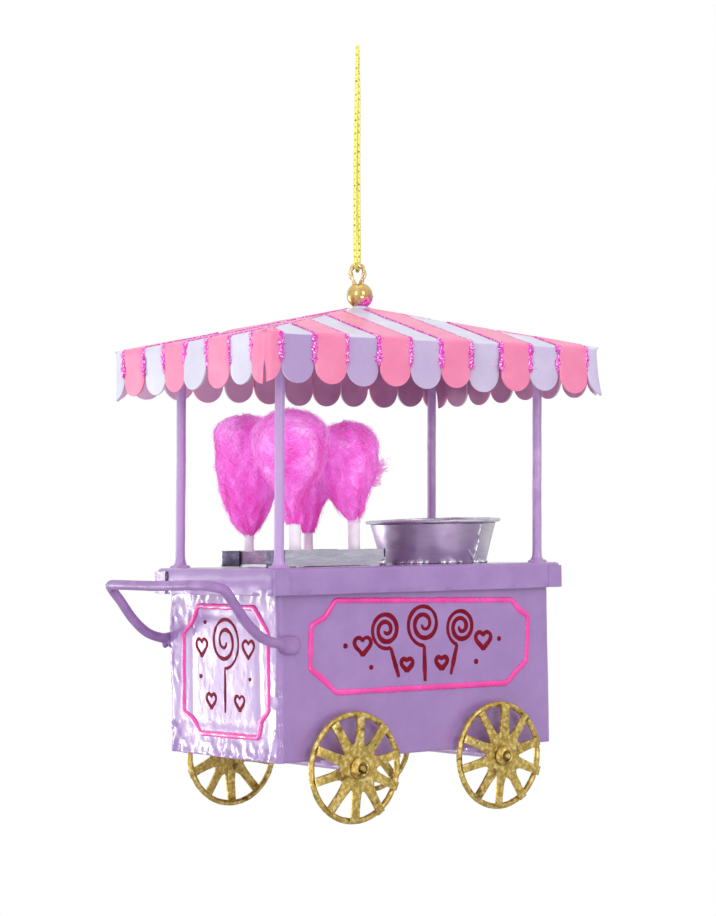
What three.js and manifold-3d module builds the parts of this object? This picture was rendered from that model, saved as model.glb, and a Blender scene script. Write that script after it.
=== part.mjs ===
// Hanging ornament in the shape of a fairground sweet cart, soldered up from tin sheet and wire.
// Millimetres, +Z up. The origin is the inside top of the hanging loop, where a hook bears.
// X runs along the cart (the push handle is at -X), and the long front face looks to -Y.
// Sub-parts are placed in the cart's own frame, whose z = 0 is the bottom of the wheels.
import * as THREE from 'three';
import { mergeVertices } from 'three/addons/utils/BufferGeometryUtils.js';
import Module from 'manifold-3d';

const GAP = 0.3; // clearance between pieces that are soldered or rest together

// Cart body: folded wall, bottom plate and lidded counter.
const BODY_L = 62;
const BODY_W = 35.5;
const BODY_BOTTOM = 11.4;
const BODY_CORNER_R = 0.9;
const SHEET = 0.6; // painted tin of the body and counter
const COUNTER_TOP = 45.2;
const SKIRT_H = 4.8;
const LID_OVER_X = 2.0;
const LID_OVER_Y = 1.4;

// Canopy posts: straight wire, leaning a little towards +X.
const POST_R = 0.75;
const POST_X = 29.7;
const POST_Y = 16.1;
const POST_TOP = 86.0;
const POST_LEAN = 0.9;

// Canopy: low hipped sheet roof with a scalloped valance on each side.
const CANOPY_L = 76.9;
const CANOPY_W = 49.9;
const CANOPY_X = 0.2;
const EAVE_Z = 85.5;
const APEX_Z = 93.7;
const APEX_FLAT_Z = 93.1; // the tip is flattened under the bead
const ROOF_T = 0.5;
const VALANCE_T = 0.5;
const VALANCE_BOTTOM = 76.7;
const TABS_LONG = 11;
const TABS_END = 7;

// Hanger: brass bead on the tip of the roof, twisted wire eye, metallic cord.
const HANGER_TURN = -36 * Math.PI / 180; // the eye has turned to face the front left corner
const BEAD_R = 2.45;
const BEAD_X = 0.7;
const BEAD_Z = 95.9;
const BEAD_BORE_R = 1.2;
const EYE_X = 0.25;
const EYE_WIRE_R = 0.42;
const CORD_D = 0.75;
const LOOP_LEAN = 0.6; // sideways run of the cord between the eye and the hook
const LOOP_INSIDE_Z = 142.7;

// Push handle: round wire soldered to both long faces.
const HANDLE_R = 0.75;
const HANDLE_Y = BODY_W / 2 + GAP + HANDLE_R;
const HANDLE_BLOB = [2.2, 0.72, 1.35];

// Tray that holds the candy floss sticks.
const TRAY_X0 = -24.4;
const TRAY_X1 = -2.0;
const TRAY_HALF_W = 10.4;
const TRAY_H = 2.9;
const TRAY_T = 0.4;
const TRAY_TAB = 6.0;

// Candy floss: stick position and radius, then the floss's radius, bottom and top.
const FLOSS = [
  { name: 'front_left', x: -19.8, y: -7.0, stickR: 1.1, r: 6.7, z0: 52.9, z1: 73.8 },
  { name: 'front_right', x: -6.6, y: -7.0, stickR: 1.1, r: 5.2, z0: 53.3, z1: 71.7 },
  { name: 'rear_left', x: -20.4, y: 7.0, stickR: 0.9, r: 5.7, z0: 50.9, z1: 73.4 },
  { name: 'rear_right', x: -7.0, y: 7.0, stickR: 0.9, r: 5.6, z0: 51.4, z1: 70.5 },
];
// Outline of a floss from bottom to top: share of its height, share of its radius.
const FLOSS_OUTLINE = [[0, 0.3], [0.08, 0.55], [0.22, 0.8], [0.45, 0.95], [0.7, 1], [0.88, 0.9], [0.97, 0.6]];
const STICK_SHARE = 0.6; // how far up into the floss its stick reaches

// Spinner bowl: tapered strip with a flanged rim and a floor disc.
const BOWL_X = 17.4;
const BOWL_R_TOP = 12.0;
const BOWL_R_BOTTOM = 10.0;
const BOWL_RIM_R = 13.0;
const BOWL_RIM_Z = 53.4;
const BOWL_T = 0.5;
const BOWL_RIM_T = 0.6;
const BOWL_RISE = 0.7; // the rim rides up at the back right
const BOWL_RISE_ANGLE = 35 * Math.PI / 180;

// Wheels: wire ring, flat ten-spoke star laid over it, hub boss; they turn on fixed wire axles.
const WHEEL_R = 9.9;
const WHEEL_X = 16.5;
const WHEEL_Z = WHEEL_R;
const RING_WIRE_R = 0.55;
const RING_Y = 19.6;
const STAR_Y = RING_Y + RING_WIRE_R + GAP;
const STAR_T = 0.5;
const SPOKES = 10;
const SPOKE_W = 1.6;
const SPOKE_TIP_R = 9.5;
const WEB_R = 3.6;
const HUB_R = 1.85;
const HUB_Y = STAR_Y + STAR_T + GAP;
const HUB_H = 1.1;
const AXLE_R = 0.7;
const AXLE_HALF_L = HUB_Y + HUB_H + 0.15;
const AXLE_BORE_R = AXLE_R + 0.25;
const SADDLE = [3.2, 5.0]; // solder lump that holds the axle to the bottom plate
const SADDLE_Y = 12.5;

const WHOLE_TURN = Math.PI * 2;

function paint(color, roughness, metalness) {
  return new THREE.MeshStandardMaterial({ color, roughness, metalness });
}

const LILAC = () => paint(0xa284c0, 0.35, 0.1);
const TIN = () => paint(0xb9b9c4, 0.3, 0.9);
const GILT = () => paint(0xc2a050, 0.35, 0.9);
const PINK = () => paint(0xf590b8, 0.4, 0.05);
const STICK_WHITE = () => paint(0xefe2f0, 0.6, 0);
const FLOSS_PINK = () => paint(0xf070dc, 0.95, 0);
const CORD_GOLD = () => paint(0xd8cf3c, 0.4, 0.6);

function named(name, geometry, material) {
  const mesh = new THREE.Mesh(geometry, material);
  mesh.name = name;
  return mesh;
}

function box(sx, sy, sz, x, y, z) {
  return new THREE.BoxGeometry(sx, sy, sz).translate(x, y, z);
}

// Closed wire of round section along a smooth curve through the given points.
function wire(points, radius, steps, sides) {
  const section = new THREE.Shape();
  section.absarc(0, 0, radius, 0, WHOLE_TURN);
  const path = new THREE.CatmullRomCurve3(points, false, 'centripetal');
  return new THREE.ExtrudeGeometry(section, { steps, curveSegments: sides, extrudePath: path });
}

// Solid turned about Z from [radius, z] pairs; the outline closes on itself or on the axis.
function turned(pairs, segments) {
  const outline = pairs.map(([r, z]) => new THREE.Vector2(r, z));
  return new THREE.LatheGeometry(outline, segments).rotateX(Math.PI / 2);
}

function rectangle(shape, halfX, halfY, radius) {
  const corners = [[1, 1], [-1, 1], [-1, -1], [1, -1]];
  corners.forEach(([sx, sy], i) => {
    const start = i * Math.PI / 2;
    shape.absarc(sx * (halfX - radius), sy * (halfY - radius), radius, start, start + Math.PI / 2);
  });
  return shape;
}

function solids(wasm) {
  const solid = (geometry) => {
    const bare = geometry.index ? geometry.toNonIndexed() : geometry.clone();
    bare.deleteAttribute('normal');
    bare.deleteAttribute('uv');
    const welded = mergeVertices(bare, 1e-4);
    return new wasm.Manifold(new wasm.Mesh({
      numProp: 3,
      vertProperties: new Float32Array(welded.attributes.position.array),
      triVerts: new Uint32Array(welded.index.array),
    }));
  };
  const geometryOf = (body) => {
    const mesh = body.getMesh();
    const geometry = new THREE.BufferGeometry();
    const points = [];
    for (let i = 0; i < mesh.vertProperties.length; i += mesh.numProp) {
      points.push(mesh.vertProperties[i], mesh.vertProperties[i + 1], mesh.vertProperties[i + 2]);
    }
    geometry.setAttribute('position', new THREE.Float32BufferAttribute(points, 3));
    geometry.setIndex([...mesh.triVerts]);
    geometry.computeVertexNormals();
    return geometry;
  };
  const join = (first, ...rest) => geometryOf(rest.reduce((sum, g) => sum.add(solid(g)), solid(first)));
  const cut = (first, ...rest) => geometryOf(rest.reduce((sum, g) => sum.subtract(solid(g)), solid(first)));
  return { join, cut };
}

function bodyWall() {
  const ring = rectangle(new THREE.Shape(), BODY_L / 2, BODY_W / 2, BODY_CORNER_R);
  const inner = rectangle(new THREE.Path(), BODY_L / 2 - SHEET, BODY_W / 2 - SHEET, BODY_CORNER_R - SHEET);
  ring.holes.push(inner);
  const height = COUNTER_TOP - SHEET - GAP - BODY_BOTTOM;
  const wall = new THREE.ExtrudeGeometry(ring, { depth: height, bevelEnabled: false, curveSegments: 3 });
  return named('body_wall', wall.translate(0, 0, BODY_BOTTOM), LILAC());
}

function bodyBottom() {
  const inset = 2 * (SHEET + GAP);
  const z = BODY_BOTTOM + SHEET / 2 + GAP;
  return named('body_bottom', box(BODY_L - inset, BODY_W - inset, SHEET, 0, 0, z), LILAC());
}

function counterLid(cut) {
  const sx = BODY_L + 2 * LID_OVER_X;
  const sy = BODY_W + 2 * LID_OVER_Y;
  const outside = box(sx, sy, SKIRT_H, 0, 0, COUNTER_TOP - SKIRT_H / 2);
  const inside = box(sx - 2 * SHEET, sy - 2 * SHEET, SKIRT_H, 0, 0, COUNTER_TOP - SHEET - SKIRT_H / 2);
  return named('counter_lid', cut(outside, inside), LILAC());
}

function posts() {
  const group = new THREE.Group();
  const places = [['front_left', -1, -1], ['front_right', 1, -1], ['rear_left', -1, 1], ['rear_right', 1, 1]];
  const bottom = COUNTER_TOP + GAP;
  const length = POST_TOP - bottom;
  for (const [place, sx, sy] of places) {
    const rod = new THREE.CylinderGeometry(POST_R, POST_R, length, 12).rotateX(Math.PI / 2);
    const post = named(`post_${place}`, rod, LILAC());
    post.position.set(sx * POST_X + POST_LEAN / 2, sy * POST_Y, bottom + length / 2);
    post.rotation.y = Math.atan2(POST_LEAN, length);
    group.add(post);
  }
  return group;
}

// Hipped shell: the outside pyramid with its tip flattened, and the same surface one sheet lower.
function canopyRoof() {
  const flat = (APEX_Z - APEX_FLAT_Z) / (APEX_Z - EAVE_Z);
  const loop = (share, z) => [[-1, -1], [1, -1], [1, 1], [-1, 1]].map(
    ([sx, sy]) => [CANOPY_X + sx * share * CANOPY_L / 2, sy * share * CANOPY_W / 2, z],
  );
  const loops = [
    loop(flat, APEX_FLAT_Z - ROOF_T),
    loop(1, EAVE_Z - ROOF_T),
    loop(1, EAVE_Z),
    loop(flat, APEX_FLAT_Z),
  ];
  const triangles = [[0, 2, 1], [0, 3, 2], [12, 13, 14], [12, 14, 15]];
  for (let ring = 0; ring < 3; ring += 1) {
    for (let i = 0; i < 4; i += 1) {
      const a = ring * 4 + i;
      const b = ring * 4 + (i + 1) % 4;
      triangles.push([a, b, b + 4], [a, b + 4, a + 4]);
    }
  }
  const geometry = new THREE.BufferGeometry();
  geometry.setAttribute('position', new THREE.Float32BufferAttribute(loops.flat(2), 3));
  geometry.setIndex(triangles.flat());
  geometry.computeVertexNormals();
  return named('canopy_roof', geometry, PINK());
}

// Strip with a row of round-ended tabs along its lower edge, half a tab at each end.
function scallopedStrip(length, pitch, first) {
  const top = EAVE_Z - ROOF_T - GAP;
  const radius = pitch / 2;
  const cusp = VALANCE_BOTTOM + radius;
  const half = length / 2;
  const strip = new THREE.Shape();
  strip.moveTo(half, top);
  strip.lineTo(-half, top);
  strip.lineTo(-half, VALANCE_BOTTOM + 0.4);
  for (let centre = first; centre < half + radius; centre += pitch) {
    const from = Math.max(-half, centre - radius);
    const to = Math.min(half, centre + radius);
    const steps = 8;
    for (let i = 0; i <= steps; i += 1) {
      const x = from + (to - from) * i / steps;
      const drop = Math.sqrt(Math.max(0, radius * radius - (x - centre) * (x - centre)));
      strip.lineTo(x, cusp - drop);
    }
  }
  strip.lineTo(half, top);
  return new THREE.ExtrudeGeometry(strip, { depth: VALANCE_T, bevelEnabled: false });
}

function valances() {
  const group = new THREE.Group();
  const longPitch = CANOPY_L / TABS_LONG;
  const endPitch = CANOPY_W / TABS_END;
  const endLength = CANOPY_W - 2 * (VALANCE_T + GAP);
  const long = () => scallopedStrip(CANOPY_L, longPitch, -CANOPY_L / 2);
  const end = () => scallopedStrip(endLength, endPitch, -CANOPY_W / 2);
  const sides = [
    ['valance_front', long, CANOPY_X, -CANOPY_W / 2 + VALANCE_T, 0],
    ['valance_rear', long, CANOPY_X, CANOPY_W / 2 - VALANCE_T, Math.PI],
    ['valance_left', end, CANOPY_X - CANOPY_L / 2 + VALANCE_T, 0, -Math.PI / 2],
    ['valance_right', end, CANOPY_X + CANOPY_L / 2 - VALANCE_T, 0, Math.PI / 2],
  ];
  for (const [name, strip, x, y, turn] of sides) {
    const mesh = named(name, strip().rotateX(Math.PI / 2).rotateZ(turn), PINK());
    mesh.position.set(x, y, 0);
    group.add(mesh);
  }
  return group;
}

function bead(cut) {
  const ball = new THREE.SphereGeometry(BEAD_R, 24, 16).rotateX(Math.PI / 2);
  const bore = new THREE.CylinderGeometry(BEAD_BORE_R, BEAD_BORE_R, 3 * BEAD_R, 16).rotateX(Math.PI / 2);
  const mesh = named('bead', cut(ball, bore.translate(EYE_X - BEAD_X, 0, 0)), GILT());
  mesh.position.set(BEAD_X, 0, BEAD_Z);
  return mesh;
}

// Wire eye: both legs stand in the bead's bore and the loop bulges above it.
function eye() {
  const leg = [[0.47, 94.2], [0.47, 97.6], [0.72, 98.7], [1.22, 99.7], [1.26, 100.6], [0.78, 101.4]];
  const up = leg.map(([x, z]) => new THREE.Vector3(-x, 0, z));
  const down = leg.map(([x, z]) => new THREE.Vector3(x, 0, z)).reverse();
  const points = [...up, new THREE.Vector3(0, 0, 101.65), ...down];
  const mesh = named('hanger_eye', wire(points, EYE_WIRE_R, 40, 8), GILT());
  mesh.position.set(EYE_X, 0, 0);
  mesh.rotation.z = HANGER_TURN;
  return mesh;
}

// Cord: through the eye and up to the hook as one long loop. The points are in the hook's frame,
// turned with the eye: x across the eye, y through it.
const CORD_ROUTE = [
  [-0.6, -0.18, -42.15], [-0.7, -0.85, -41.87], [-0.85, -1.38, -41.1], [-0.94, -1.5, -40.2],
  [-0.97, -1.25, -38.8], [-0.97, -0.75, -36.8], [-0.95, -0.42, -34], [-0.85, -0.4, -28],
  [-0.72, -0.42, -22], [-0.5, -0.48, -15], [-0.3, -0.52, -9], [-0.2, -0.75, -5],
  [-0.1, -1.25, -2.6], [-0.04, -1.5, -1.1], [-0.02, -1.05, -0.06], [0, 0, 0.375],
  [0.02, 1.05, -0.06], [0.04, 1.5, -1.1], [0.06, 1.25, -2.6], [0.1, 0.75, -5],
  [0.1, 0.52, -9], [0, 0.48, -15], [-0.12, 0.42, -22], [-0.17, 0.4, -28],
  [-0.22, 0.42, -34], [-0.24, 0.75, -36.8], [-0.25, 1.25, -38.8], [-0.3, 1.5, -40.2],
  [-0.4, 1.38, -41.1], [-0.52, 0.85, -41.87], [-0.6, 0.18, -42.15],
];

function cord() {
  const points = CORD_ROUTE.map(([x, y, z]) => new THREE.Vector3(x, y, z));
  const mesh = named('hang_cord', wire(points, CORD_D / 2, 56, 8), CORD_GOLD());
  mesh.rotation.z = HANGER_TURN;
  return mesh;
}

function handle(join) {
  const side = [[-28.8, 31.8], [-31.8, 32.2], [-35.2, 33.3], [-38.3, 35.9], [-41.0, 39.6], [-42.9, 41.9]];
  const near = side.map(([x, z]) => new THREE.Vector3(x, -HANDLE_Y, z));
  const bend = [[-44.3, -16.7, 42.7], [-44.7, -13, 42.8], [-44.7, 0, 42.6], [-44.7, 13, 42.7], [-44.3, 16.7, 42.6]];
  const bar = bend.map(([x, y, z]) => new THREE.Vector3(x, y, z));
  const far = side.map(([x, z]) => new THREE.Vector3(x, HANDLE_Y, z)).reverse();
  const rod = wire([...near, ...bar, ...far], HANDLE_R, 60, 8);
  const blobs = [-1, 1].map((sy) => {
    const blob = new THREE.SphereGeometry(1, 12, 8).scale(...HANDLE_BLOB);
    return blob.translate(side[0][0], sy * HANDLE_Y, side[0][1]);
  });
  return named('push_handle', join(rod, ...blobs), LILAC());
}

// Folded tray: floor, four walls, and a pair of tabs lapped over each end wall.
function tray(join) {
  const length = TRAY_X1 - TRAY_X0;
  const width = 2 * TRAY_HALF_W;
  const x = (TRAY_X0 + TRAY_X1) / 2;
  const z = COUNTER_TOP + GAP;
  const parts = [box(length - 2 * TRAY_T, width, TRAY_T, x, 0, z + TRAY_T / 2)];
  for (const s of [-1, 1]) {
    parts.push(box(length, TRAY_T, TRAY_H, x, s * (TRAY_HALF_W - TRAY_T / 2), z + TRAY_H / 2));
    const wallX = x + s * (length / 2 - 1.5 * TRAY_T);
    parts.push(box(TRAY_T, width, TRAY_H, wallX, 0, z + TRAY_H / 2));
    for (const t of [-1, 1]) {
      const tabX = x + s * (length / 2 - TRAY_T / 2);
      parts.push(box(TRAY_T, TRAY_TAB, TRAY_H, tabX, t * (TRAY_HALF_W - TRAY_TAB / 2), z + TRAY_H / 2));
    }
  }
  return named('tray', join(...parts), TIN());
}

function candyFloss() {
  const group = new THREE.Group();
  const stickBottom = COUNTER_TOP + TRAY_T + 2 * GAP;
  for (const f of FLOSS) {
    const height = f.z1 - f.z0;
    const pocketTop = f.z0 + height * STICK_SHARE;
    const stickTop = pocketTop - GAP;
    const pocketR = f.stickR + GAP;
    const length = stickTop - stickBottom;
    const rod = new THREE.CylinderGeometry(f.stickR, f.stickR, length, 12).rotateX(Math.PI / 2);
    const stick = named(`stick_${f.name}`, rod, STICK_WHITE());
    stick.position.set(f.x, f.y, stickBottom + length / 2);
    const skin = FLOSS_OUTLINE.map(([h, r]) => [r * f.r, f.z0 + h * height]);
    const outline = [[0, pocketTop], [pocketR, pocketTop], [pocketR, f.z0], ...skin, [0, f.z1]];
    const puff = named(`floss_${f.name}`, turned(outline, 16), FLOSS_PINK());
    puff.position.set(f.x, f.y, 0);
    group.add(stick, puff);
  }
  return group;
}

// Lifts a turned bowl piece towards its high side, in proportion to its height above the counter.
function tilt(geometry) {
  const points = geometry.attributes.position;
  for (let i = 0; i < points.count; i += 1) {
    const [x, y, z] = [points.getX(i), points.getY(i), points.getZ(i)];
    const facing = (1 + Math.cos(Math.atan2(y, x) - BOWL_RISE_ANGLE)) / 2;
    const share = (z - COUNTER_TOP) / (BOWL_RIM_Z - COUNTER_TOP);
    points.setZ(i, z + BOWL_RISE * share * facing * facing);
  }
  geometry.computeVertexNormals();
  return geometry;
}

function bowl() {
  const group = new THREE.Group();
  const bottom = COUNTER_TOP + GAP;
  const top = BOWL_RIM_Z - BOWL_RIM_T - GAP;
  const wall = [
    [BOWL_R_BOTTOM, bottom], [BOWL_R_TOP, top], [BOWL_R_TOP - BOWL_T, top],
    [BOWL_R_BOTTOM - BOWL_T, bottom], [BOWL_R_BOTTOM, bottom],
  ];
  const low = BOWL_RIM_Z - BOWL_RIM_T;
  const lip = BOWL_R_TOP - BOWL_T;
  const rim = [[lip, low], [BOWL_RIM_R, low], [BOWL_RIM_R, BOWL_RIM_Z], [lip, BOWL_RIM_Z], [lip, low]];
  const floorR = BOWL_R_BOTTOM - BOWL_T - GAP;
  const floorTop = bottom + BOWL_T;
  const floor = [[0, bottom], [floorR, bottom], [floorR, floorTop], [0, floorTop]];
  group.add(named('bowl_wall', tilt(turned(wall, 40)), TIN()));
  group.add(named('bowl_rim', tilt(turned(rim, 40)), TIN()));
  group.add(named('bowl_floor', turned(floor, 32), TIN()));
  group.position.x = BOWL_X;
  return group;
}

function starOutline() {
  const star = new THREE.Shape();
  const half = SPOKE_W / 2;
  const step = WHOLE_TURN / SPOKES;
  const root = Math.sqrt(WEB_R * WEB_R - half * half);
  for (let i = 0; i < SPOKES; i += 1) {
    const angle = i * step;
    const along = new THREE.Vector2(Math.cos(angle), Math.sin(angle));
    const across = new THREE.Vector2(-along.y, along.x);
    for (const [a, c] of [[root, -half], [SPOKE_TIP_R, -half], [SPOKE_TIP_R, half], [root, half]]) {
      const p = along.clone().multiplyScalar(a).addScaledVector(across, c);
      if (i === 0 && star.curves.length === 0 && c < 0 && a === root) star.moveTo(p.x, p.y);
      else star.lineTo(p.x, p.y);
    }
  }
  star.closePath();
  const bore = new THREE.Path();
  bore.absarc(0, 0, AXLE_BORE_R, 0, WHOLE_TURN);
  star.holes.push(bore);
  return star;
}

// One wheel, built about its axle on the -Y side of the cart and turned round for the +Y side.
function wheel(place, sx, sy) {
  const group = new THREE.Group();
  const ring = new THREE.TorusGeometry(WHEEL_R - RING_WIRE_R, RING_WIRE_R, 6, 36).rotateX(Math.PI / 2);
  const ringMesh = named(`wheel_ring_${place}`, ring, GILT());
  ringMesh.position.y = -RING_Y;
  const star = new THREE.ExtrudeGeometry(starOutline(), { depth: STAR_T, bevelEnabled: false, curveSegments: 12 });
  const starMesh = named(`wheel_star_${place}`, star.rotateX(Math.PI / 2).rotateY(Math.PI / 2), GILT());
  starMesh.position.y = -STAR_Y;
  const dome = [
    [AXLE_BORE_R, 0], [HUB_R, 0], [HUB_R * 0.92, HUB_H * 0.6], [HUB_R * 0.72, HUB_H],
    [AXLE_BORE_R, HUB_H], [AXLE_BORE_R, 0],
  ];
  const hub = named(`wheel_hub_${place}`, turned(dome, 20).rotateX(Math.PI / 2), GILT());
  hub.position.y = -HUB_Y;
  group.add(ringMesh, starMesh, hub);
  group.position.set(sx * WHEEL_X, 0, WHEEL_Z);
  if (sy > 0) group.rotation.z = Math.PI;
  return group;
}

function wheels() {
  const group = new THREE.Group();
  group.add(wheel('front_left', -1, -1), wheel('front_right', 1, -1));
  group.add(wheel('rear_left', -1, 1), wheel('rear_right', 1, 1));
  return group;
}

// Wire axle with the two solder lumps that hold it up against the bottom plate.
function axles(join) {
  const group = new THREE.Group();
  const lumpTop = BODY_BOTTOM - WHEEL_Z;
  for (const [place, sx] of [['left', -1], ['right', 1]]) {
    const rod = new THREE.CylinderGeometry(AXLE_R, AXLE_R, 2 * AXLE_HALF_L, 12);
    const lumps = [-1, 1].map((s) => box(...SADDLE, lumpTop, 0, s * SADDLE_Y, lumpTop / 2));
    const mesh = named(`axle_${place}`, join(rod, ...lumps), LILAC());
    mesh.position.set(sx * WHEEL_X, 0, WHEEL_Z);
    group.add(mesh);
  }
  return group;
}

const wasm = await Module();
wasm.setup();
const { join, cut } = solids(wasm);

const cart = new THREE.Group();
cart.add(bodyWall(), bodyBottom(), counterLid(cut), posts());
cart.add(canopyRoof(), valances(), bead(cut), eye());
cart.add(handle(join), tray(join), candyFloss(), bowl());
cart.add(wheels(), axles(join));
cart.position.set(
  -EYE_X - LOOP_LEAN * Math.cos(HANGER_TURN),
  -LOOP_LEAN * Math.sin(HANGER_TURN),
  -LOOP_INSIDE_Z,
);

const ornament = new THREE.Group();
ornament.name = 'cart_ornament';
ornament.add(cart, cord());

export default ornament;
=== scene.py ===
import math

import bmesh
import bpy
import numpy as np
from mathutils import Matrix, Vector
from mathutils import noise as field


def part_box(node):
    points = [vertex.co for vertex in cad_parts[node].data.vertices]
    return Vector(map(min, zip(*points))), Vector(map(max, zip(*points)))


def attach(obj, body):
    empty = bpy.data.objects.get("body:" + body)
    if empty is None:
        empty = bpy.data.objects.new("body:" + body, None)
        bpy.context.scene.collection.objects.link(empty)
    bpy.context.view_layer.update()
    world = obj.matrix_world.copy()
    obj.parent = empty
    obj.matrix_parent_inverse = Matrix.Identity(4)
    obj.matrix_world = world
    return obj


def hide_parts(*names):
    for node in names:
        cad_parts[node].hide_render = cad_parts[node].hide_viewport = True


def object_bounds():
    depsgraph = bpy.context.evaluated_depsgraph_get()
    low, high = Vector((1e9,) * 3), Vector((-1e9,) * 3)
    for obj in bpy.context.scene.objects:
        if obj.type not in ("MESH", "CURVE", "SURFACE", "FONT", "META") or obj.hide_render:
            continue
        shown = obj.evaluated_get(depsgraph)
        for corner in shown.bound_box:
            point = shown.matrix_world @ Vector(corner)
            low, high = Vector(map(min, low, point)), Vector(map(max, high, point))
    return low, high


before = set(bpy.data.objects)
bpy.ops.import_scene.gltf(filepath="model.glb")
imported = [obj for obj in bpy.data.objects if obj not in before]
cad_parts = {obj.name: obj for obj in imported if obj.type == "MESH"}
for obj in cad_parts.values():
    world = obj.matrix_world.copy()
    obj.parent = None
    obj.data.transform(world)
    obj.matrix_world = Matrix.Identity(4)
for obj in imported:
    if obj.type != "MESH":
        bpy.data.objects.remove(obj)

CAD_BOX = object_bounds()

# Lengths below are millimetres in the cart's own frame: X and Y from the middle of the body,
# Z up from the bottom of the wheels. ORIGIN is that frame's origin in the row frame, in metres.
MM = 0.001
BODY_BOTTOM = 11.4
_low, _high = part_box("body_wall")
ORIGIN = np.array([(_low.x + _high.x) / 2, (_low.y + _high.y) / 2, _low.z - BODY_BOTTOM * MM])

BODY_L, BODY_W = 62.0, 35.5
COUNTER_TOP = 45.2
SKIRT_H = 4.8
LID_OVER_X, LID_OVER_Y = 2.0, 1.4
POST_X, POST_Y, POST_R, POST_LEAN, POST_PAINT = 29.7, 16.1, 0.75, 0.9, 0.12
CANOPY_L, CANOPY_W, CANOPY_X = 76.9, 49.9, 0.2
EAVE_Z, APEX_Z, ROOF_FLAT_Z = 85.5, 93.7, 93.1
TAB_DROP, CUSP_DROP = 8.8, 5.3
BEAD_R, BEAD_X, BEAD_Z, BEAD_BORE = 2.45, 0.7, 95.9, 1.2
HANGER_TURN = math.radians(-36)
CORD_D = 0.75
HANDLE_R, HANDLE_PAINT = 0.75, 0.14
HANDLE_Y = BODY_W / 2 + 0.3 + HANDLE_R
TRAY_X0, TRAY_X1, TRAY_HALF_W, TRAY_H = -24.4, -2.0, 10.4, 2.9
BOWL_X, BOWL_RIM_Z, BOWL_RISE = 17.4, 53.4, 0.7
BOWL_RISE_ANGLE = math.radians(35)
WHEEL_X, WHEEL_Z, RING_Y, RING_R, RING_WIRE = 16.5, 9.9, 19.6, 9.35, 0.55
STAR_Y, STAR_T = 20.45, 0.5
HUB_Y, HUB_H, HUB_R, AXLE_R = 21.25, 1.1, 1.85, 0.7

UP = np.array([0.0, 0.0, 1.0])
CORNERS = (("front_left", -1, -1), ("front_right", 1, -1), ("rear_left", -1, 1), ("rear_right", 1, 1))


# ---------------------------------------------------------------- camera
CAMERA_TURN = (-36.6, -2.07, -0.83)  # azimuth, elevation and roll in degrees
CAMERA_PLACE = (-0.2559854, -0.3430073, -0.0929)
SENSOR_WIDTH, LENS = 36, 89.607
CLIP_NEAR, CLIP_FAR = 0.01, 50


def link(name, data):
    """Puts data into the scene as a new object."""
    obj = bpy.data.objects.new(name, data)
    bpy.context.scene.collection.objects.link(obj)
    return obj


def make_camera():
    azimuth, elevation, roll = (math.radians(d) for d in CAMERA_TURN)
    forward = Vector((
        -math.sin(azimuth) * math.cos(elevation),
        math.cos(azimuth) * math.cos(elevation),
        -math.sin(elevation),
    ))
    level = forward.cross(Vector((0, 0, 1))).normalized()
    upright = level.cross(forward)
    right = level * math.cos(roll) + upright * math.sin(roll)
    top = upright * math.cos(roll) - level * math.sin(roll)
    data = bpy.data.cameras.new("camera")
    data.sensor_width, data.lens = SENSOR_WIDTH, LENS
    data.clip_start, data.clip_end = CLIP_NEAR, CLIP_FAR
    camera = link("camera", data)
    rows = [(right[i], top[i], -forward[i], CAMERA_PLACE[i]) for i in range(3)]
    camera.matrix_world = Matrix(rows + [(0, 0, 0, 1)])
    bpy.context.scene.camera = camera


make_camera()


# ---------------------------------------------------------------- mesh helpers
def seeded(word):
    return np.random.default_rng(sum(ord(c) * (i + 3) for i, c in enumerate(word)))


def unit(v):
    v = np.asarray(v, float)
    return v / np.maximum(np.linalg.norm(v, axis=-1, keepdims=True), 1e-12)


def bumps(points, size, seed=0.0):
    """Smooth noise from about -1 to 1 at each point, with features about size across."""
    q = np.asarray(points, float).reshape(-1, 3) / size + seed * 17.3
    values = np.array([field.noise(Vector(p)) for p in q])
    return values.reshape(np.asarray(points).shape[:-1])


def around(count):
    """Angles of evenly spaced points round a circle."""
    return 2 * np.pi * np.arange(count) / count


def steps(a, b, count):
    """Evenly spaced points from a towards b, without b."""
    a, b = np.asarray(a, float), np.asarray(b, float)
    return a + (b - a) * (np.arange(count) / count)[:, None]


def run_along(path):
    """Length of the path up to each of its points."""
    return np.r_[0, np.cumsum(np.linalg.norm(np.diff(path, axis=0), axis=1))]


def merge(parts):
    """Joins (verts, faces) parts into one."""
    verts, faces, base = [], [], 0
    for v, f in parts:
        verts.append(np.asarray(v, float))
        faces.extend([tuple(i + base for i in face) for face in f])
        base += len(v)
    return np.vstack(verts), faces


def loft(loops, ring=False):
    """Skins loops of equal length into a closed solid; ring joins the last loop to the first."""
    loops = [np.asarray(l, float) for l in loops]
    n, m = len(loops[0]), len(loops)
    faces = []
    for a in range(m if ring else m - 1):
        b = (a + 1) % m
        for i in range(n):
            j = (i + 1) % n
            faces.append((a * n + i, a * n + j, b * n + j, b * n + i))
    if not ring:
        faces.append(tuple(range(n - 1, -1, -1)))
        faces.append(tuple((m - 1) * n + i for i in range(n)))
    return np.vstack(loops), faces


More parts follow.
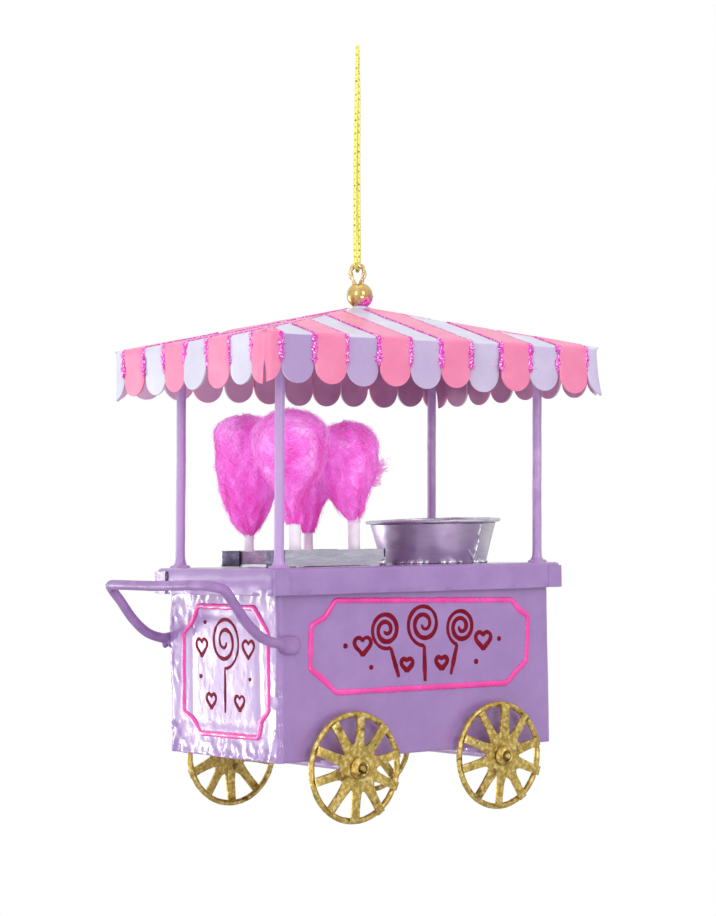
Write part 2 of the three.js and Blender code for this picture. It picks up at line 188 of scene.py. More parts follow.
def spline(points, step):
    """Centripetal Catmull-Rom curve through the points, sampled about every step."""
    p = [np.array(q, float) for q in points]
    p = [2 * p[0] - p[1]] + p + [2 * p[-1] - p[-2]]
    out = []
    for i in range(1, len(p) - 2):
        p0, p1, p2, p3 = p[i - 1:i + 3]
        d0, d1, d2 = (max(np.linalg.norm(b - a) ** 0.5, 1e-4) for a, b in ((p0, p1), (p1, p2), (p2, p3)))
        t1 = ((p1 - p0) / d0 - (p2 - p0) / (d0 + d1) + (p2 - p1) / d1) * d1
        t2 = ((p2 - p1) / d1 - (p3 - p1) / (d1 + d2) + (p3 - p2) / d2) * d1
        u = np.arange(max(2, math.ceil(np.linalg.norm(p2 - p1) / step)))[:, None]
        u = u / len(u)
        out.append(p1 + t1 * u + (3 * (p2 - p1) - 2 * t1 - t2) * u ** 2 + (2 * (p1 - p2) + t1 + t2) * u ** 3)
    return np.vstack(out + [p[-2][None]])


def frames(path):
    """Tangent and two untwisted normals at each point of a path."""
    t = unit(np.gradient(path, axis=0))
    n = np.zeros_like(t)
    start = np.cross(t[0], UP if abs(t[0][2]) < 0.9 else [1.0, 0, 0])
    n[0] = unit(start)
    for i in range(1, len(t)):
        n[i] = unit(n[i - 1] - t[i] * np.dot(n[i - 1], t[i]))
    return t, n, np.cross(t, n)


def tube(path, radius, sides=12):
    """Closed tube along a path; radius is one number, one a point, or one a point and side."""
    path = np.asarray(path, float)
    _, n, b = frames(path)
    r = np.asarray(radius, float)
    r = np.broadcast_to(r.reshape(-1, 1) if r.ndim < 2 else r, (len(path), sides))
    a = around(sides)
    ring = np.cos(a)[None, :, None] * n[:, None] + np.sin(a)[None, :, None] * b[:, None]
    return loft(path[:, None] + ring * r[..., None])


def lathe(profile, segments, centre=(0.0, 0.0), ring=False):
    """Solid of revolution about Z from (radius, z) pairs."""
    a = around(segments)
    return loft([
        np.c_[centre[0] + r * np.cos(a), centre[1] + r * np.sin(a), np.full(segments, z)] for r, z in profile
    ], ring)


def sheet(grid, thickness, wrap=False):
    """Closed thin solid behind a grid of points (rows, columns, 3). Its faces come front, back, rim."""
    g = np.asarray(grid, float)
    rows, cols = g.shape[:2]
    du = np.gradient(g, axis=0)
    dv = (np.roll(g, -1, 1) - np.roll(g, 1, 1)) / 2 if wrap else np.gradient(g, axis=1)
    n = unit(np.cross(dv, du))
    verts = np.vstack([g.reshape(-1, 3), (g - n * np.asarray(thickness)).reshape(-1, 3)])
    off = rows * cols
    front, back, rim = [], [], []
    for i in range(rows - 1):
        for j in range(cols if wrap else cols - 1):
            k = (j + 1) % cols
            quad = (i * cols + j, i * cols + k, (i + 1) * cols + k, (i + 1) * cols + j)
            front.append(quad)
            back.append(tuple(q + off for q in reversed(quad)))
    for i in (0, rows - 1):
        for j in range(cols if wrap else cols - 1):
            a, b = i * cols + j, i * cols + (j + 1) % cols
            rim.append((a, b, b + off, a + off))
    if not wrap:
        for j in (0, cols - 1):
            for i in range(rows - 1):
                a, b = i * cols + j, (i + 1) * cols + j
                rim.append((a, b, b + off, a + off))
    kinds = [0] * len(front) + [1] * len(back) + [2] * len(rim)
    return verts, front + back + rim, kinds


def panel(corner, along, across, nu, nv, thickness, wave=0.0, seed=0.0):
    """Flat sheet from a corner and two edges, with a slight wave."""
    corner, along, across = (np.asarray(v, float) for v in (corner, along, across))
    u = np.linspace(0, 1, nu)[:, None, None]
    v = np.linspace(0, 1, nv)[None, :, None]
    g = corner + along * u + across * v
    n = unit(np.cross(across, along))
    g = g + n * (bumps(g, 4.0, seed) * wave)[..., None]
    return sheet(g, thickness)


def bead_line(path, normal, half_width, height, arc=7):
    """Raised bead of paint or solder along a path on a surface, closed underneath."""
    sink = 0.12
    path = np.asarray(path, float)
    m = len(path)
    n = unit(np.broadcast_to(np.asarray(normal, float), (m, 3)))
    side = unit(np.cross(np.gradient(path, axis=0), n))
    w = np.broadcast_to(np.asarray(half_width, float), (m,))[:, None, None]
    h = np.broadcast_to(np.asarray(height, float), (m,))[:, None, None]
    a = np.linspace(0, np.pi, arc)[None, :, None]
    top = path[:, None] + side[:, None] * np.cos(a) * w + n[:, None] * np.sin(a) * h
    low = path[:, None] - n[:, None] * sink + side[:, None] * w * np.array([-0.9, 0.9])[None, :, None]
    return loft(np.concatenate([top, low], axis=1))


def blob(centre, radii, seed=0, rough=0.18, rows=9, cols=14):
    """Lump of solder or paint: a ball with uneven radii."""
    lat = np.linspace(-np.pi / 2 + 0.15, np.pi / 2 - 0.15, rows)
    a = around(cols)
    d = np.stack([
        np.cos(lat)[:, None] * np.cos(a)[None],
        np.cos(lat)[:, None] * np.sin(a)[None],
        np.repeat(np.sin(lat)[:, None], cols, 1),
    ], -1)
    scale = 1 + rough * bumps(d, 0.55, seed + 1.7)
    return loft(np.asarray(centre, float) + d * scale[..., None] * np.asarray(radii, float))


def polyline(corners, step, closed=False, soften=0):
    """Evenly spaced points along straight runs; soften rounds the corners that many times."""
    p = np.asarray(corners, float)
    if closed:
        p = np.vstack([p, p[:1]])
    out = []
    for a, b in zip(p[:-1], p[1:]):
        k = max(1, round(np.linalg.norm(b - a) / step))
        out.append(steps(a, b, k))
    q = np.vstack(out + ([] if closed else [p[-1:]]))
    for _ in range(soften):
        smooth = (np.roll(q, 1, 0) + 2 * q + np.roll(q, -1, 0)) / 4
        if not closed:
            smooth[0], smooth[-1] = q[0], q[-1]
        q = smooth
    return q


def add(name, solid, materials, body="cart", replaces=(), kinds=None, tones=None, sharp=38,
        metres=False):
    """Makes a piece from millimetres in the cart's frame and rides it on its body."""
    verts, faces = solid
    v = np.asarray(verts, float)
    v = v if metres else v * MM + ORIGIN
    mesh = bpy.data.meshes.new(name)
    mesh.from_pydata(v.tolist(), [], [tuple(int(i) for i in f) for f in faces])
    for m in materials if isinstance(materials, (list, tuple)) else [materials]:
        mesh.materials.append(m)
    if kinds is not None:
        mesh.polygons.foreach_set("material_index", np.asarray(kinds, np.int32))
    bm = bmesh.new()
    bm.from_mesh(mesh)
    bmesh.ops.recalc_face_normals(bm, faces=bm.faces)
    bm.to_mesh(mesh)
    bm.free()
    mesh.polygons.foreach_set("use_smooth", np.ones(len(mesh.polygons), bool))
    mesh.set_sharp_from_angle(angle=math.radians(sharp))
    if tones is not None:
        layer = mesh.attributes.new("tone", "FLOAT", "POINT")
        layer.data.foreach_set("value", np.asarray(tones, np.float32).ravel())
    obj = link(name, mesh)
    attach(obj, body)
    if replaces:
        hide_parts(*replaces)
    return obj


# ---------------------------------------------------------------- materials
def rgb(*c):
    s = [x / 255 for x in c]
    return [x / 12.92 if x <= 0.04045 else ((x + 0.055) / 1.055) ** 2.4 for x in s] + [1.0]


def feed(tree, socket, value):
    """Links a socket to another one, or sets its own value."""
    if isinstance(value, bpy.types.NodeSocket):
        tree.links.new(value, socket)
    else:
        socket.default_value = value


def node(tree, kind, inputs=None, **props):
    """Adds a node with its settings and inputs."""
    n = tree.nodes.new(kind)
    for key, value in props.items():
        setattr(n, key, value)
    for key, value in (inputs or {}).items():
        feed(tree, n.inputs[key], value)
    return n


class Paint:
    """One procedural material: a Principled shader and the nodes that feed it."""

    def __init__(self, name, colour=(200, 200, 200), roughness=0.4, metallic=0.0, **fixed):
        self.material = bpy.data.materials.new(name)
        self.material.use_nodes = True
        self.tree = self.material.node_tree
        self.shader = self.tree.nodes["Principled BSDF"]
        self.set("Base Color", rgb(*colour))
        self.set("Roughness", roughness)
        self.set("Metallic", metallic)
        for key, value in fixed.items():
            self.set(key.replace("_", " "), value)
        self.place = self.node("ShaderNodeTexCoord").outputs["Object"]
        self.normal = None

    def set(self, key, value):
        feed(self.tree, self.shader.inputs[key], value)

    def node(self, kind, inputs=None, **props):
        return node(self.tree, kind, inputs, **props)

    def noise(self, size_mm, detail=3.0, rough=0.55, stretch=(1, 1, 1), twist=0.0):
        """Noise with features about size_mm across."""
        where = self.node("ShaderNodeMapping", {"Vector": self.place, "Scale": [1 / s for s in stretch]})
        n = self.node("ShaderNodeTexNoise", {
            "Vector": where.outputs[0], "Scale": 1000 / size_mm, "Detail": detail, "Roughness": rough,
            "Distortion": twist,
        })
        return n.outputs["Fac"]

    def cells(self, size_mm):
        """A random colour for each cell, about size_mm across."""
        n = self.node("ShaderNodeTexVoronoi", {"Vector": self.place, "Scale": 1000 / size_mm})
        return n.outputs["Color"]

    def tone(self):
        return self.node("ShaderNodeAttribute", attribute_name="tone").outputs["Fac"]

    def ramp(self, fac, *stops):
        n = self.node("ShaderNodeValToRGB", {"Fac": fac})
        band = n.color_ramp
        while len(band.elements) < len(stops):
            band.elements.new(0.5)
        for element, (at, colour) in zip(band.elements, stops):
            element.position = at
            element.color = rgb(*colour) if isinstance(colour, tuple) else [colour] * 3 + [1.0]
        return n.outputs["Color"]

    def mix(self, fac, a, b, blend="MIX"):
        a, b = (rgb(*c) if isinstance(c, tuple) else c for c in (a, b))
        return self.node("ShaderNodeMix", {0: fac, 6: a, 7: b}, data_type="RGBA", blend_type=blend).outputs[2]

    def bump(self, height, distance_mm, strength=1.0):
        inputs = {"Height": height, "Distance": distance_mm * MM, "Strength": strength}
        if self.normal is not None:
            inputs["Normal"] = self.normal
        self.normal = self.node("ShaderNodeBump", inputs).outputs["Normal"]
        self.set("Normal", self.normal)
        return self

    def done(self):
        return self.material


def enamel(name, dark, mid, light, roughness=(0.28, 0.45), coat=0.35, blot=5.0, peel=0.0, gloss=0.10,
           thin=None, specular=0.5):
    """Hand-brushed gloss enamel: slow colour drift, fine orange peel, uneven gloss. thin is the
    colour that it drifts to towards the cart's left end: painted light on the lining and the wire,
    lighter where light falls in from the left, and only a darker drift on the lavender tabs."""
    p = Paint(name, mid, Coat_Weight=coat, Coat_Roughness=gloss, Specular_IOR_Level=specular)
    drift = p.ramp(p.noise(blot, 3, 0.5), (0.2, dark), (0.5, mid), (0.8, light))
    if thin:
        x = p.node("ShaderNodeSeparateXYZ", {"Vector": p.place}).outputs[0]
        leftward = p.node("ShaderNodeMapRange", {"Value": x, "From Min": 0.012, "From Max": -0.03}).outputs[0]
        drift = p.mix(leftward, drift, thin)
    specks = p.ramp(p.noise(0.35, 2, 0.5), (0.3, 0.95), (0.7, 1.0))
    p.set("Base Color", p.mix(1.0, drift, specks, "MULTIPLY"))
    p.set("Roughness", p.ramp(p.noise(2.2, 3, 0.6), (0.3, roughness[0]), (0.7, roughness[1])))
    p.bump(p.noise(3.0, 2, 0.5), 0.03, 0.5).bump(p.noise(0.5, 2, 0.5), 0.006, 0.6)
    if peel:
        p.bump(p.noise(0.7, 4, 0.65), peel, 0.8)
        p.set("Coat Normal", p.normal)
    return p.done()


def glitter(name, dark, mid, light):
    """Paint thick with metal flakes: every small cell has its own brightness and tilt."""
    p = Paint(name, mid, 0.35, 0.35)
    cell = p.cells(0.22)
    shade = p.node("ShaderNodeSeparateColor", {"Color": cell})
    sparkle = (0.97, (255, 235, 250))
    p.set("Base Color", p.ramp(shade.outputs[0], (0.1, dark), (0.5, mid), (0.86, light), sparkle))
    p.set("Metallic", p.ramp(shade.outputs[1], (0.4, 0.1), (0.8, 0.75)))
    p.bump(shade.outputs[2], 0.05, 0.8).bump(p.noise(0.9, 2), 0.08, 0.5)
    return p.done()


def bright_metal(name, dark, mid, light, roughness=(0.22, 0.42), streak=(1, 1, 6), size=0.6, lump=0.03):
    p = Paint(name, mid, 0.3, 0.92)
    tint = p.ramp(p.noise(size, 4, 0.65, streak), (0.28, dark), (0.5, mid), (0.72, light))
    cloud = p.ramp(p.noise(4.0, 3, 0.6), (0.3, 0.9), (0.65, 1.0))
    p.set("Base Color", p.mix(1.0, tint, cloud, "MULTIPLY"))
    p.set("Roughness", p.ramp(p.noise(1.6, 3), (0.3, roughness[0]), (0.7, roughness[1])))
    p.bump(p.noise(0.8, 3), lump, 0.7)
    return p.done()


def bowl_metal(name):
    """Spun tin whose painted reflections and shade, lighter or darker round the wall, come from the tone."""
    p = Paint(name, (170, 160, 185), 0.3, 0.92)
    painted_reflection = p.ramp(p.tone(), (0.0, (150, 118, 152)), (0.5, (196, 178, 208)), (1.0, (236, 233, 240)))
    brushed = p.ramp(p.noise(0.5, 4, 0.6, (7, 7, 1)), (0.3, 0.86), (0.7, 1.0))
    p.set("Base Color", p.mix(1.0, painted_reflection, brushed, "MULTIPLY"))
    p.set("Roughness", p.ramp(p.noise(1.8, 3), (0.3, 0.34), (0.7, 0.5)))
    p.bump(p.noise(0.4, 3, 0.5, (7, 7, 1)), 0.009, 0.8)
    return p.done()


def gilding(name):
    """Gold paint over wire and sheet, rubbed through to brown and darker in patches."""
    p = Paint(name, (196, 160, 82), 0.35, 0.85)
    gold = p.ramp(p.noise(0.8, 4, 0.6), (0.3, (168, 136, 66)), (0.5, (200, 170, 90)), (0.68, (242, 226, 156)))
    worn = p.ramp(p.noise(2.6, 5, 0.65, twist=0.6), (0.33, 0.95), (0.43, 0.0))
    colour = p.mix(worn, gold, (120, 88, 44))
    green = p.ramp(p.noise(3.1, 3, 0.6, (1, 1, 1.4)), (0.62, 0.0), (0.75, 0.6))
    p.set("Base Color", p.mix(green, colour, (112, 124, 74)))
    p.set("Roughness", p.ramp(p.noise(0.7, 3), (0.3, 0.28), (0.7, 0.55)))
    p.bump(p.noise(1.1, 4, 0.6), 0.16, 0.9).bump(p.noise(0.35, 2), 0.03, 0.8)
    return p.done()


def floss_fibre(name):
    """Dyed fibre: each strand has its own tone, which also carries painted shade and a painted highlight.
    It glows faintly in its own colour: painted light for the light spread inside the mass.
    """
    p = Paint(name, (240, 110, 220), 0.8, 0.0, Sheen_Weight=0.5, Sheen_Roughness=0.5, Emission_Strength=0.19)
    streak = p.noise(0.35, 4, 0.65, (1, 1, 3))
    dye_and_painted_light = p.ramp(p.tone(), (0.0, (222, 40, 172)), (0.35, (243, 84, 214)), (0.65, (250, 138, 240)),
                  (1.0, (255, 190, 251)))
    shade = p.ramp(streak, (0.3, (232, 120, 210)), (0.65, (255, 255, 255)))
    fibre = p.mix(0.3, dye_and_painted_light, shade, "MULTIPLY")
    p.set("Base Color", fibre)
    # The same colour glows: painted light.
    p.set("Emission Color", fibre)
    p.bump(streak, 0.03, 0.5)
    return p.done()


def braid(name):
    p = Paint(name, (240, 232, 80), 0.35, 0.55, Sheen_Weight=0.2)
    gold = p.ramp(p.noise(0.25, 3), (0.3, (240, 234, 84)), (0.7, (255, 254, 158)))
    # The tone mixes in dark olive: the braid's own flecks, with painted shade in its grooves and where it wraps the
    # eye.
    p.set("Base Color", p.mix(p.tone(), gold, (150, 136, 40)))
    p.set("Roughness", p.ramp(p.noise(0.4, 2), (0.3, 0.28), (0.7, 0.5)))
    p.bump(p.noise(0.09, 2, 0.5, (1, 1, 3)), 0.012, 0.8)
    return p.done()


LILAC = enamel("lilac_enamel", (151, 115, 178), (158, 122, 184), (166, 131, 191), coat=1.0, peel=0.03, gloss=0.05)
LILAC_LID = enamel("lilac_lid_enamel", (148, 112, 176), (157, 121, 184), (167, 133, 192), coat=1.0, peel=0.02,
                   gloss=0.06)
# The wire drifts lighter towards the cart's left end: a painted highlight on the left posts.
LILAC_WIRE = enamel("lilac_wire_enamel", (166, 130, 190), (182, 146, 202), (200, 168, 216), coat=0.7, blot=2.5,
                    thin=(186, 150, 208))
LILAC_HANDLE = enamel("lilac_handle_enamel", (138, 100, 160), (152, 114, 173), (168, 132, 189), (0.45, 0.6), 0.15,
                      blot=2.5)
PINK = enamel("pink_enamel", (236, 122, 165), (240, 131, 172), (244, 146, 184), (0.35, 0.5), 0.2)
WHITE = enamel("pearl_enamel", (204, 201, 222), (212, 210, 229), (222, 221, 237), (0.35, 0.5), 0.25)
# The lavender drifts darker towards the cart's left end.
LAVENDER = enamel("lavender_enamel", (196, 180, 216), (204, 190, 222), (212, 202, 230), (0.35, 0.5), 0.3,
                  thin=(176, 148, 200))
# The lining drifts to pale pink towards the cart's left end: painted light where light reaches in under the left
# valance.
MAUVE = enamel("mauve_lining", (168, 110, 152), (186, 126, 168), (204, 146, 186), (0.4, 0.6), 0.1,
               thin=(248, 222, 240))
HOT_PINK = enamel("hot_pink_enamel", (232, 42, 152), (243, 56, 168), (249, 84, 188), (0.2, 0.35), 0.8)
DARK_RED = enamel("dark_red_enamel", (108, 8, 28), (124, 12, 38), (140, 20, 50), (0.5, 0.65), 0.0, 1.5,
                  specular=0.1)
CORAL = enamel("coral_stain", (232, 120, 96), (240, 140, 112), (246, 164, 130), (0.3, 0.4), 0.5, 1.0)
GLITTER = glitter("magenta_glitter", (206, 40, 158), (236, 74, 200), (250, 140, 230))
TIN = bright_metal("bare_tin", (192, 189, 206), (210, 208, 223), (228, 227, 238), streak=(5, 5, 1), lump=0.004)
# Bare tin darkened as painted shade, for the tray's end laps and the lid's fold gap.
TIN_PAINTED_SHADE = bright_metal("bare_tin_dark", (56, 52, 70), (74, 70, 92), (118, 114, 136), streak=(5, 5, 1), lump=0.01)
# Bare tin in dark mauve as painted shade and reflection, for the tray's end walls and the bowl's floor.
TIN_PAINTED_MAUVE_SHADE = bright_metal("bare_tin_mauve", (136, 110, 140), (152, 126, 156), (176, 154, 178), (0.46, 0.6),
                         (5, 5, 1), lump=0.0012)
TIN_BOWL = bowl_metal("bowl_tin")
SOLDER = bright_metal("solder", (176, 176, 188), (216, 216, 224), (240, 240, 246), (0.16, 0.3), (1, 1, 1), 0.5, 0.05)
GILT = gilding("gilt")
BRASS = bright_metal("polished_brass", (196, 160, 88), (216, 186, 118), (232, 210, 152), (0.12, 0.24), (1, 1, 1),
                     1.5, 0.005)
COPPER = bright_metal("copper_wire", (190, 156, 106), (228, 204, 154), (248, 236, 200), (0.2, 0.3), (1, 1, 1),
                      0.9, 0.006)
STICK = enamel("paper_stick", (244, 232, 248), (250, 242, 252), (254, 250, 255), (0.5, 0.65), 0.0, 1.6)
FLOSS = floss_fibre("floss_fibre")
BRAID = braid("gold_braid")


# ---------------------------------------------------------------- cord, eye, bead
CORD_ROUTE = [
    (-0.6, -0.18, -42.15), (-0.7, -0.85, -41.87), (-0.85, -1.38, -41.1), (-0.94, -1.5, -40.2),
    (-0.97, -1.25, -38.8), (-0.97, -0.75, -36.8), (-0.95, -0.42, -34), (-0.85, -0.4, -28),
    (-0.72, -0.42, -22), (-0.5, -0.48, -15), (-0.3, -0.52, -9), (-0.2, -0.75, -5),
    (-0.1, -1.25, -2.6), (-0.04, -1.5, -1.1), (-0.02, -1.05, -0.06), (0, 0, 0.375),
    (0.02, 1.05, -0.06), (0.04, 1.5, -1.1), (0.06, 1.25, -2.6), (0.1, 0.75, -5),
    (0.1, 0.52, -9), (0, 0.48, -15), (-0.12, 0.42, -22), (-0.17, 0.4, -28),
    (-0.22, 0.42, -34), (-0.24, 0.75, -36.8), (-0.25, 1.25, -38.8), (-0.3, 1.5, -40.2),
    (-0.4, 1.38, -41.1), (-0.52, 0.85, -41.87), (-0.6, 0.18, -42.15),
]


def turned(points):
    """Turns the hanger's points about Z to the way that it faces."""
    p = np.asarray(points, float)
    c, s = math.cos(HANGER_TURN), math.sin(HANGER_TURN)
    return np.c_[p[:, 0] * c - p[:, 1] * s, p[:, 0] * s + p[:, 1] * c, p[:, 2]]


def make_cord():
    path = spline(turned(CORD_ROUTE), 0.07) * MM
    step = np.linalg.norm(np.diff(path, axis=0), axis=1)
    run = np.r_[0, np.cumsum(step)] / MM
    sides, carriers, pitch = 20, 4, 0.62  # the braid's pitch is in millimetres
    angle = carriers * np.arange(sides)[None] / sides + 0.5
    a = angle + run[:, None] / pitch
    b = angle - run[:, None] / pitch
    over = (np.floor(a) + np.floor(b)) % 2 == 0
    crown = np.where(over, np.sin(np.pi * (a % 1)), np.sin(np.pi * (b % 1)))
    radius = CORD_D / 2 * (0.9 + 0.115 * crown) * MM
    flecks_and_shade = np.where(over & (np.floor(a) % 2 == 0), 0.6, 0.0) * (1 + 1.2 * bumps(path / MM, 0.8, 3))[:, None]
    # painted shade in the grooves between the braid's crowns
    flecks_and_shade += 0.12 * (1 - crown)
    fade = 3.0
    # painted shade on the last few millimetres, where the cord wraps round the eye
    shade_near_eye = np.clip((-run + fade) / fade, 0, 1) + np.clip((run - run[-1] + fade) / fade, 0, 1)
    tones = np.clip(flecks_and_shade + 0.6 * shade_near_eye[:, None], 0, 1)
    cord = add("metallic_cord", tube(path, radius, sides), BRAID, replaces=["hang_cord"],
               tones=tones, metres=True, sharp=80)


make_cord()


def make_eye():
    leg = [(0.55, 94.2), (0.58, 97.7), (0.82, 98.6), (1.2, 99.6), (1.24, 100.5), (0.78, 101.35)]
    up = [(-x, 0, z) for x, z in leg]
    down = [(x, 0, z) for x, z in reversed(leg)]
    path = spline(turned(up + [(0, 0, 101.65)] + down), 0.06) + [0.25, 0, 0]
    _, n, b = frames(path)
    twist_pitch, twist_r, strand_r = 3.4, 0.18, 0.29
    parts = []
    for phase in (0, np.pi):
        a = (run_along(path) / twist_pitch * 2 * np.pi + phase)[:, None]
        parts.append(tube(path + twist_r * (np.cos(a) * n + np.sin(a) * b), strand_r, 12))
    add("twisted_eye", merge(parts), COPPER, replaces=["hanger_eye"], sharp=60)


make_eye()


def make_bead():
    reach = math.asin(BEAD_BORE / BEAD_R)
    lat = np.linspace(-np.pi / 2 + reach + 0.05, np.pi / 2 - reach - 0.05, 40)
    shell = [(BEAD_R * math.cos(t), BEAD_R * math.sin(t)) for t in lat]
    edge = BEAD_R * math.cos(reach)
    hole = [(BEAD_BORE + 0.03, edge - 0.04), (BEAD_BORE - 0.05, edge - 0.2), (BEAD_BORE - 0.05, 0.2 - edge),
            (BEAD_BORE + 0.03, 0.04 - edge)]
    verts, faces = lathe(shell + hole, 72, ring=True)
    verts = verts + unit(verts) * (0.02 * bumps(verts, 1.4, 2))[:, None]
    add("brass_bead", (verts + [BEAD_X, 0, BEAD_Z], faces), BRASS, replaces=["bead"])


make_bead()


def flakes(centres, size, seed, normals):
    """Small closed chips, turned at random and lying roughly across the normals."""
    rng = seeded(seed)
    c = np.asarray(centres, float)
    k = len(c)
    n = unit(normals + rng.normal(scale=0.35, size=(k, 3)))
    u = unit(np.cross(n, rng.normal(size=(k, 3))))
    v = np.cross(n, u)
    s = (size * rng.uniform(0.6, 1.3, k))[:, None]
    v, n = v * 0.8, n * 0.35
    corners = np.stack([c + u * s, c + v * s, c - u * s, c - v * s, c + n * s, c - n * s], 1)
    shape = [(0, 1, 4), (1, 2, 4), (2, 3, 4), (3, 0, 4), (1, 0, 5), (2, 1, 5), (3, 2, 5), (0, 3, 5)]
    faces = [tuple(6 * i + q for q in f) for i in range(k) for f in shape]
    return corners.reshape(-1, 3), faces


def cap(centre, axis, radius, spread, height, seed):
    """Uneven patch of paint on a ball: rings from its ragged edge to its middle."""
    rings, cols = 9, 30
    axis = unit(axis)
    u = unit(np.cross(axis, UP + 0.01))
    v = np.cross(axis, u)
    a = around(cols)
    edge = spread * (1 + 0.22 * bumps(np.c_[np.cos(a), np.sin(a), np.full(cols, 0.3)], 0.6, seed))
    loops = []
    for i in range(rings + 1):
        share = 1.0 if i == 0 else 1 - (i - 1) / rings
        t = (edge * share)[:, None]
        d = axis * np.cos(t) + (np.cos(a)[:, None] * u + np.sin(a)[:, None] * v) * np.sin(t)
        lift = -0.25 if i == 0 else height * math.sqrt(max(0.0, 1 - share ** 3)) + 0.02
        r = radius + lift * (1 + 0.5 * bumps(d, 0.25, seed + 3)) if i else np.full(cols, radius + lift)
        loops.append(np.asarray(centre) + d * r[:, None])
    return loft(loops)


def make_bead_paint():
    centre = np.array([BEAD_X, 0, BEAD_Z])
    right, away = np.array([0.8, -0.6, 0]), np.array([0.6, 0.8, 0])
    axis = right * 0.62 - UP * 0.85 - away * 0.42
    patch = cap(centre, axis, BEAD_R, 0.62, 0.10, 4)
    rng = seeded("bead flakes")
    d = unit(unit(axis) + rng.normal(scale=0.36, size=(420, 3)))
    chips = flakes(centre + d * (BEAD_R + 0.08), 0.11, "bead chips", d)
    add("bead_glitter", merge([patch, chips]), GLITTER)
    edge = cap(centre, right * 0.42 - UP * 0.55 - away * 0.75, BEAD_R, 0.36, 0.06, 9)
    add("bead_stain", edge, CORAL)
    add("bead_solder", blob((BEAD_X - 0.2, -0.5, ROOF_FLAT_Z + 0.3), (1.9, 1.5, 0.55), 5), WHITE)


make_bead_paint()


# ---------------------------------------------------------------- canopy
RISE = APEX_Z - EAVE_Z
FOLD = 0.55  # how far the bend at the eave reaches up the slope and down the valance
CORNER_R = 1.5
CANOPY_TIN = 0.36
HANG_ROWS, FOLD_ROWS, SLOPE_ROWS = 10, 5, 14


class Side:
    """One side of the canopy: s runs along the eave, t up the slope (or down the valance when negative)."""

    def __init__(self, name, half, reach, centre, along, inward, tabs, pink_first, pale):
        self.name, self.half, self.reach, self.tabs = name, half, reach, tabs
        self.centre, self.along, self.inward = (np.array(v, float) for v in (centre, along, inward))
        self.pink_first, self.pale = pink_first, pale
        self.pitch = 2 * half / tabs
        self.tilt = math.atan2(RISE, reach)
        self.slope = reach / math.cos(self.tilt)

    def top(self, s):
        """How far up the slope the hips let this place go."""
        return np.maximum(0.25, self.slope * np.minimum(0.95, 1 - np.abs(s) / self.half))

    def at(self, s, t, lift=0.0):
        s, t = np.broadcast_arrays(np.asarray(s, float), np.asarray(t, float))
        eave = self.centre + UP * EAVE_Z + s[..., None] * self.along
        c, d = math.cos(self.tilt), math.sin(self.tilt)
        k = np.clip((t + FOLD) / (2 * FOLD), 0, 1)[..., None]
        low = -UP * FOLD
        high = (self.inward * c + UP * d) * FOLD
        bend = low * (1 - k) ** 2 + high * k ** 2
        up = np.maximum(t - FOLD, 0)[..., None] * (self.inward * c + UP * d)
        down = np.maximum(-t - FOLD, 0)[..., None] * -UP
        n = unit(-self.inward * (1 - k) + (UP * c - self.inward * d) * k)
        return eave + bend + up + down + n * np.asarray(lift)[..., None], n

    def is_pink(self, k):
        return (k % 2 == 0) == self.pink_first


HALF_L, HALF_W = CANOPY_L / 2, CANOPY_W / 2
SIDES = [
    Side("front", HALF_L, HALF_W, (CANOPY_X, -HALF_W, 0), (1, 0, 0), (0, 1, 0), 11, True, "lavender"),
    Side("rear", HALF_L, HALF_W, (CANOPY_X, HALF_W, 0), (1, 0, 0), (0, -1, 0), 11, False, "lavender"),
    Side("left", HALF_W, HALF_L, (CANOPY_X - HALF_L, 0, 0), (0, 1, 0), (1, 0, 0), 7, True, "white"),
    Side("right", HALF_W, HALF_L, (CANOPY_X + HALF_L, 0, 0), (0, 1, 0), (-1, 0, 0), 7, False, "white"),
]


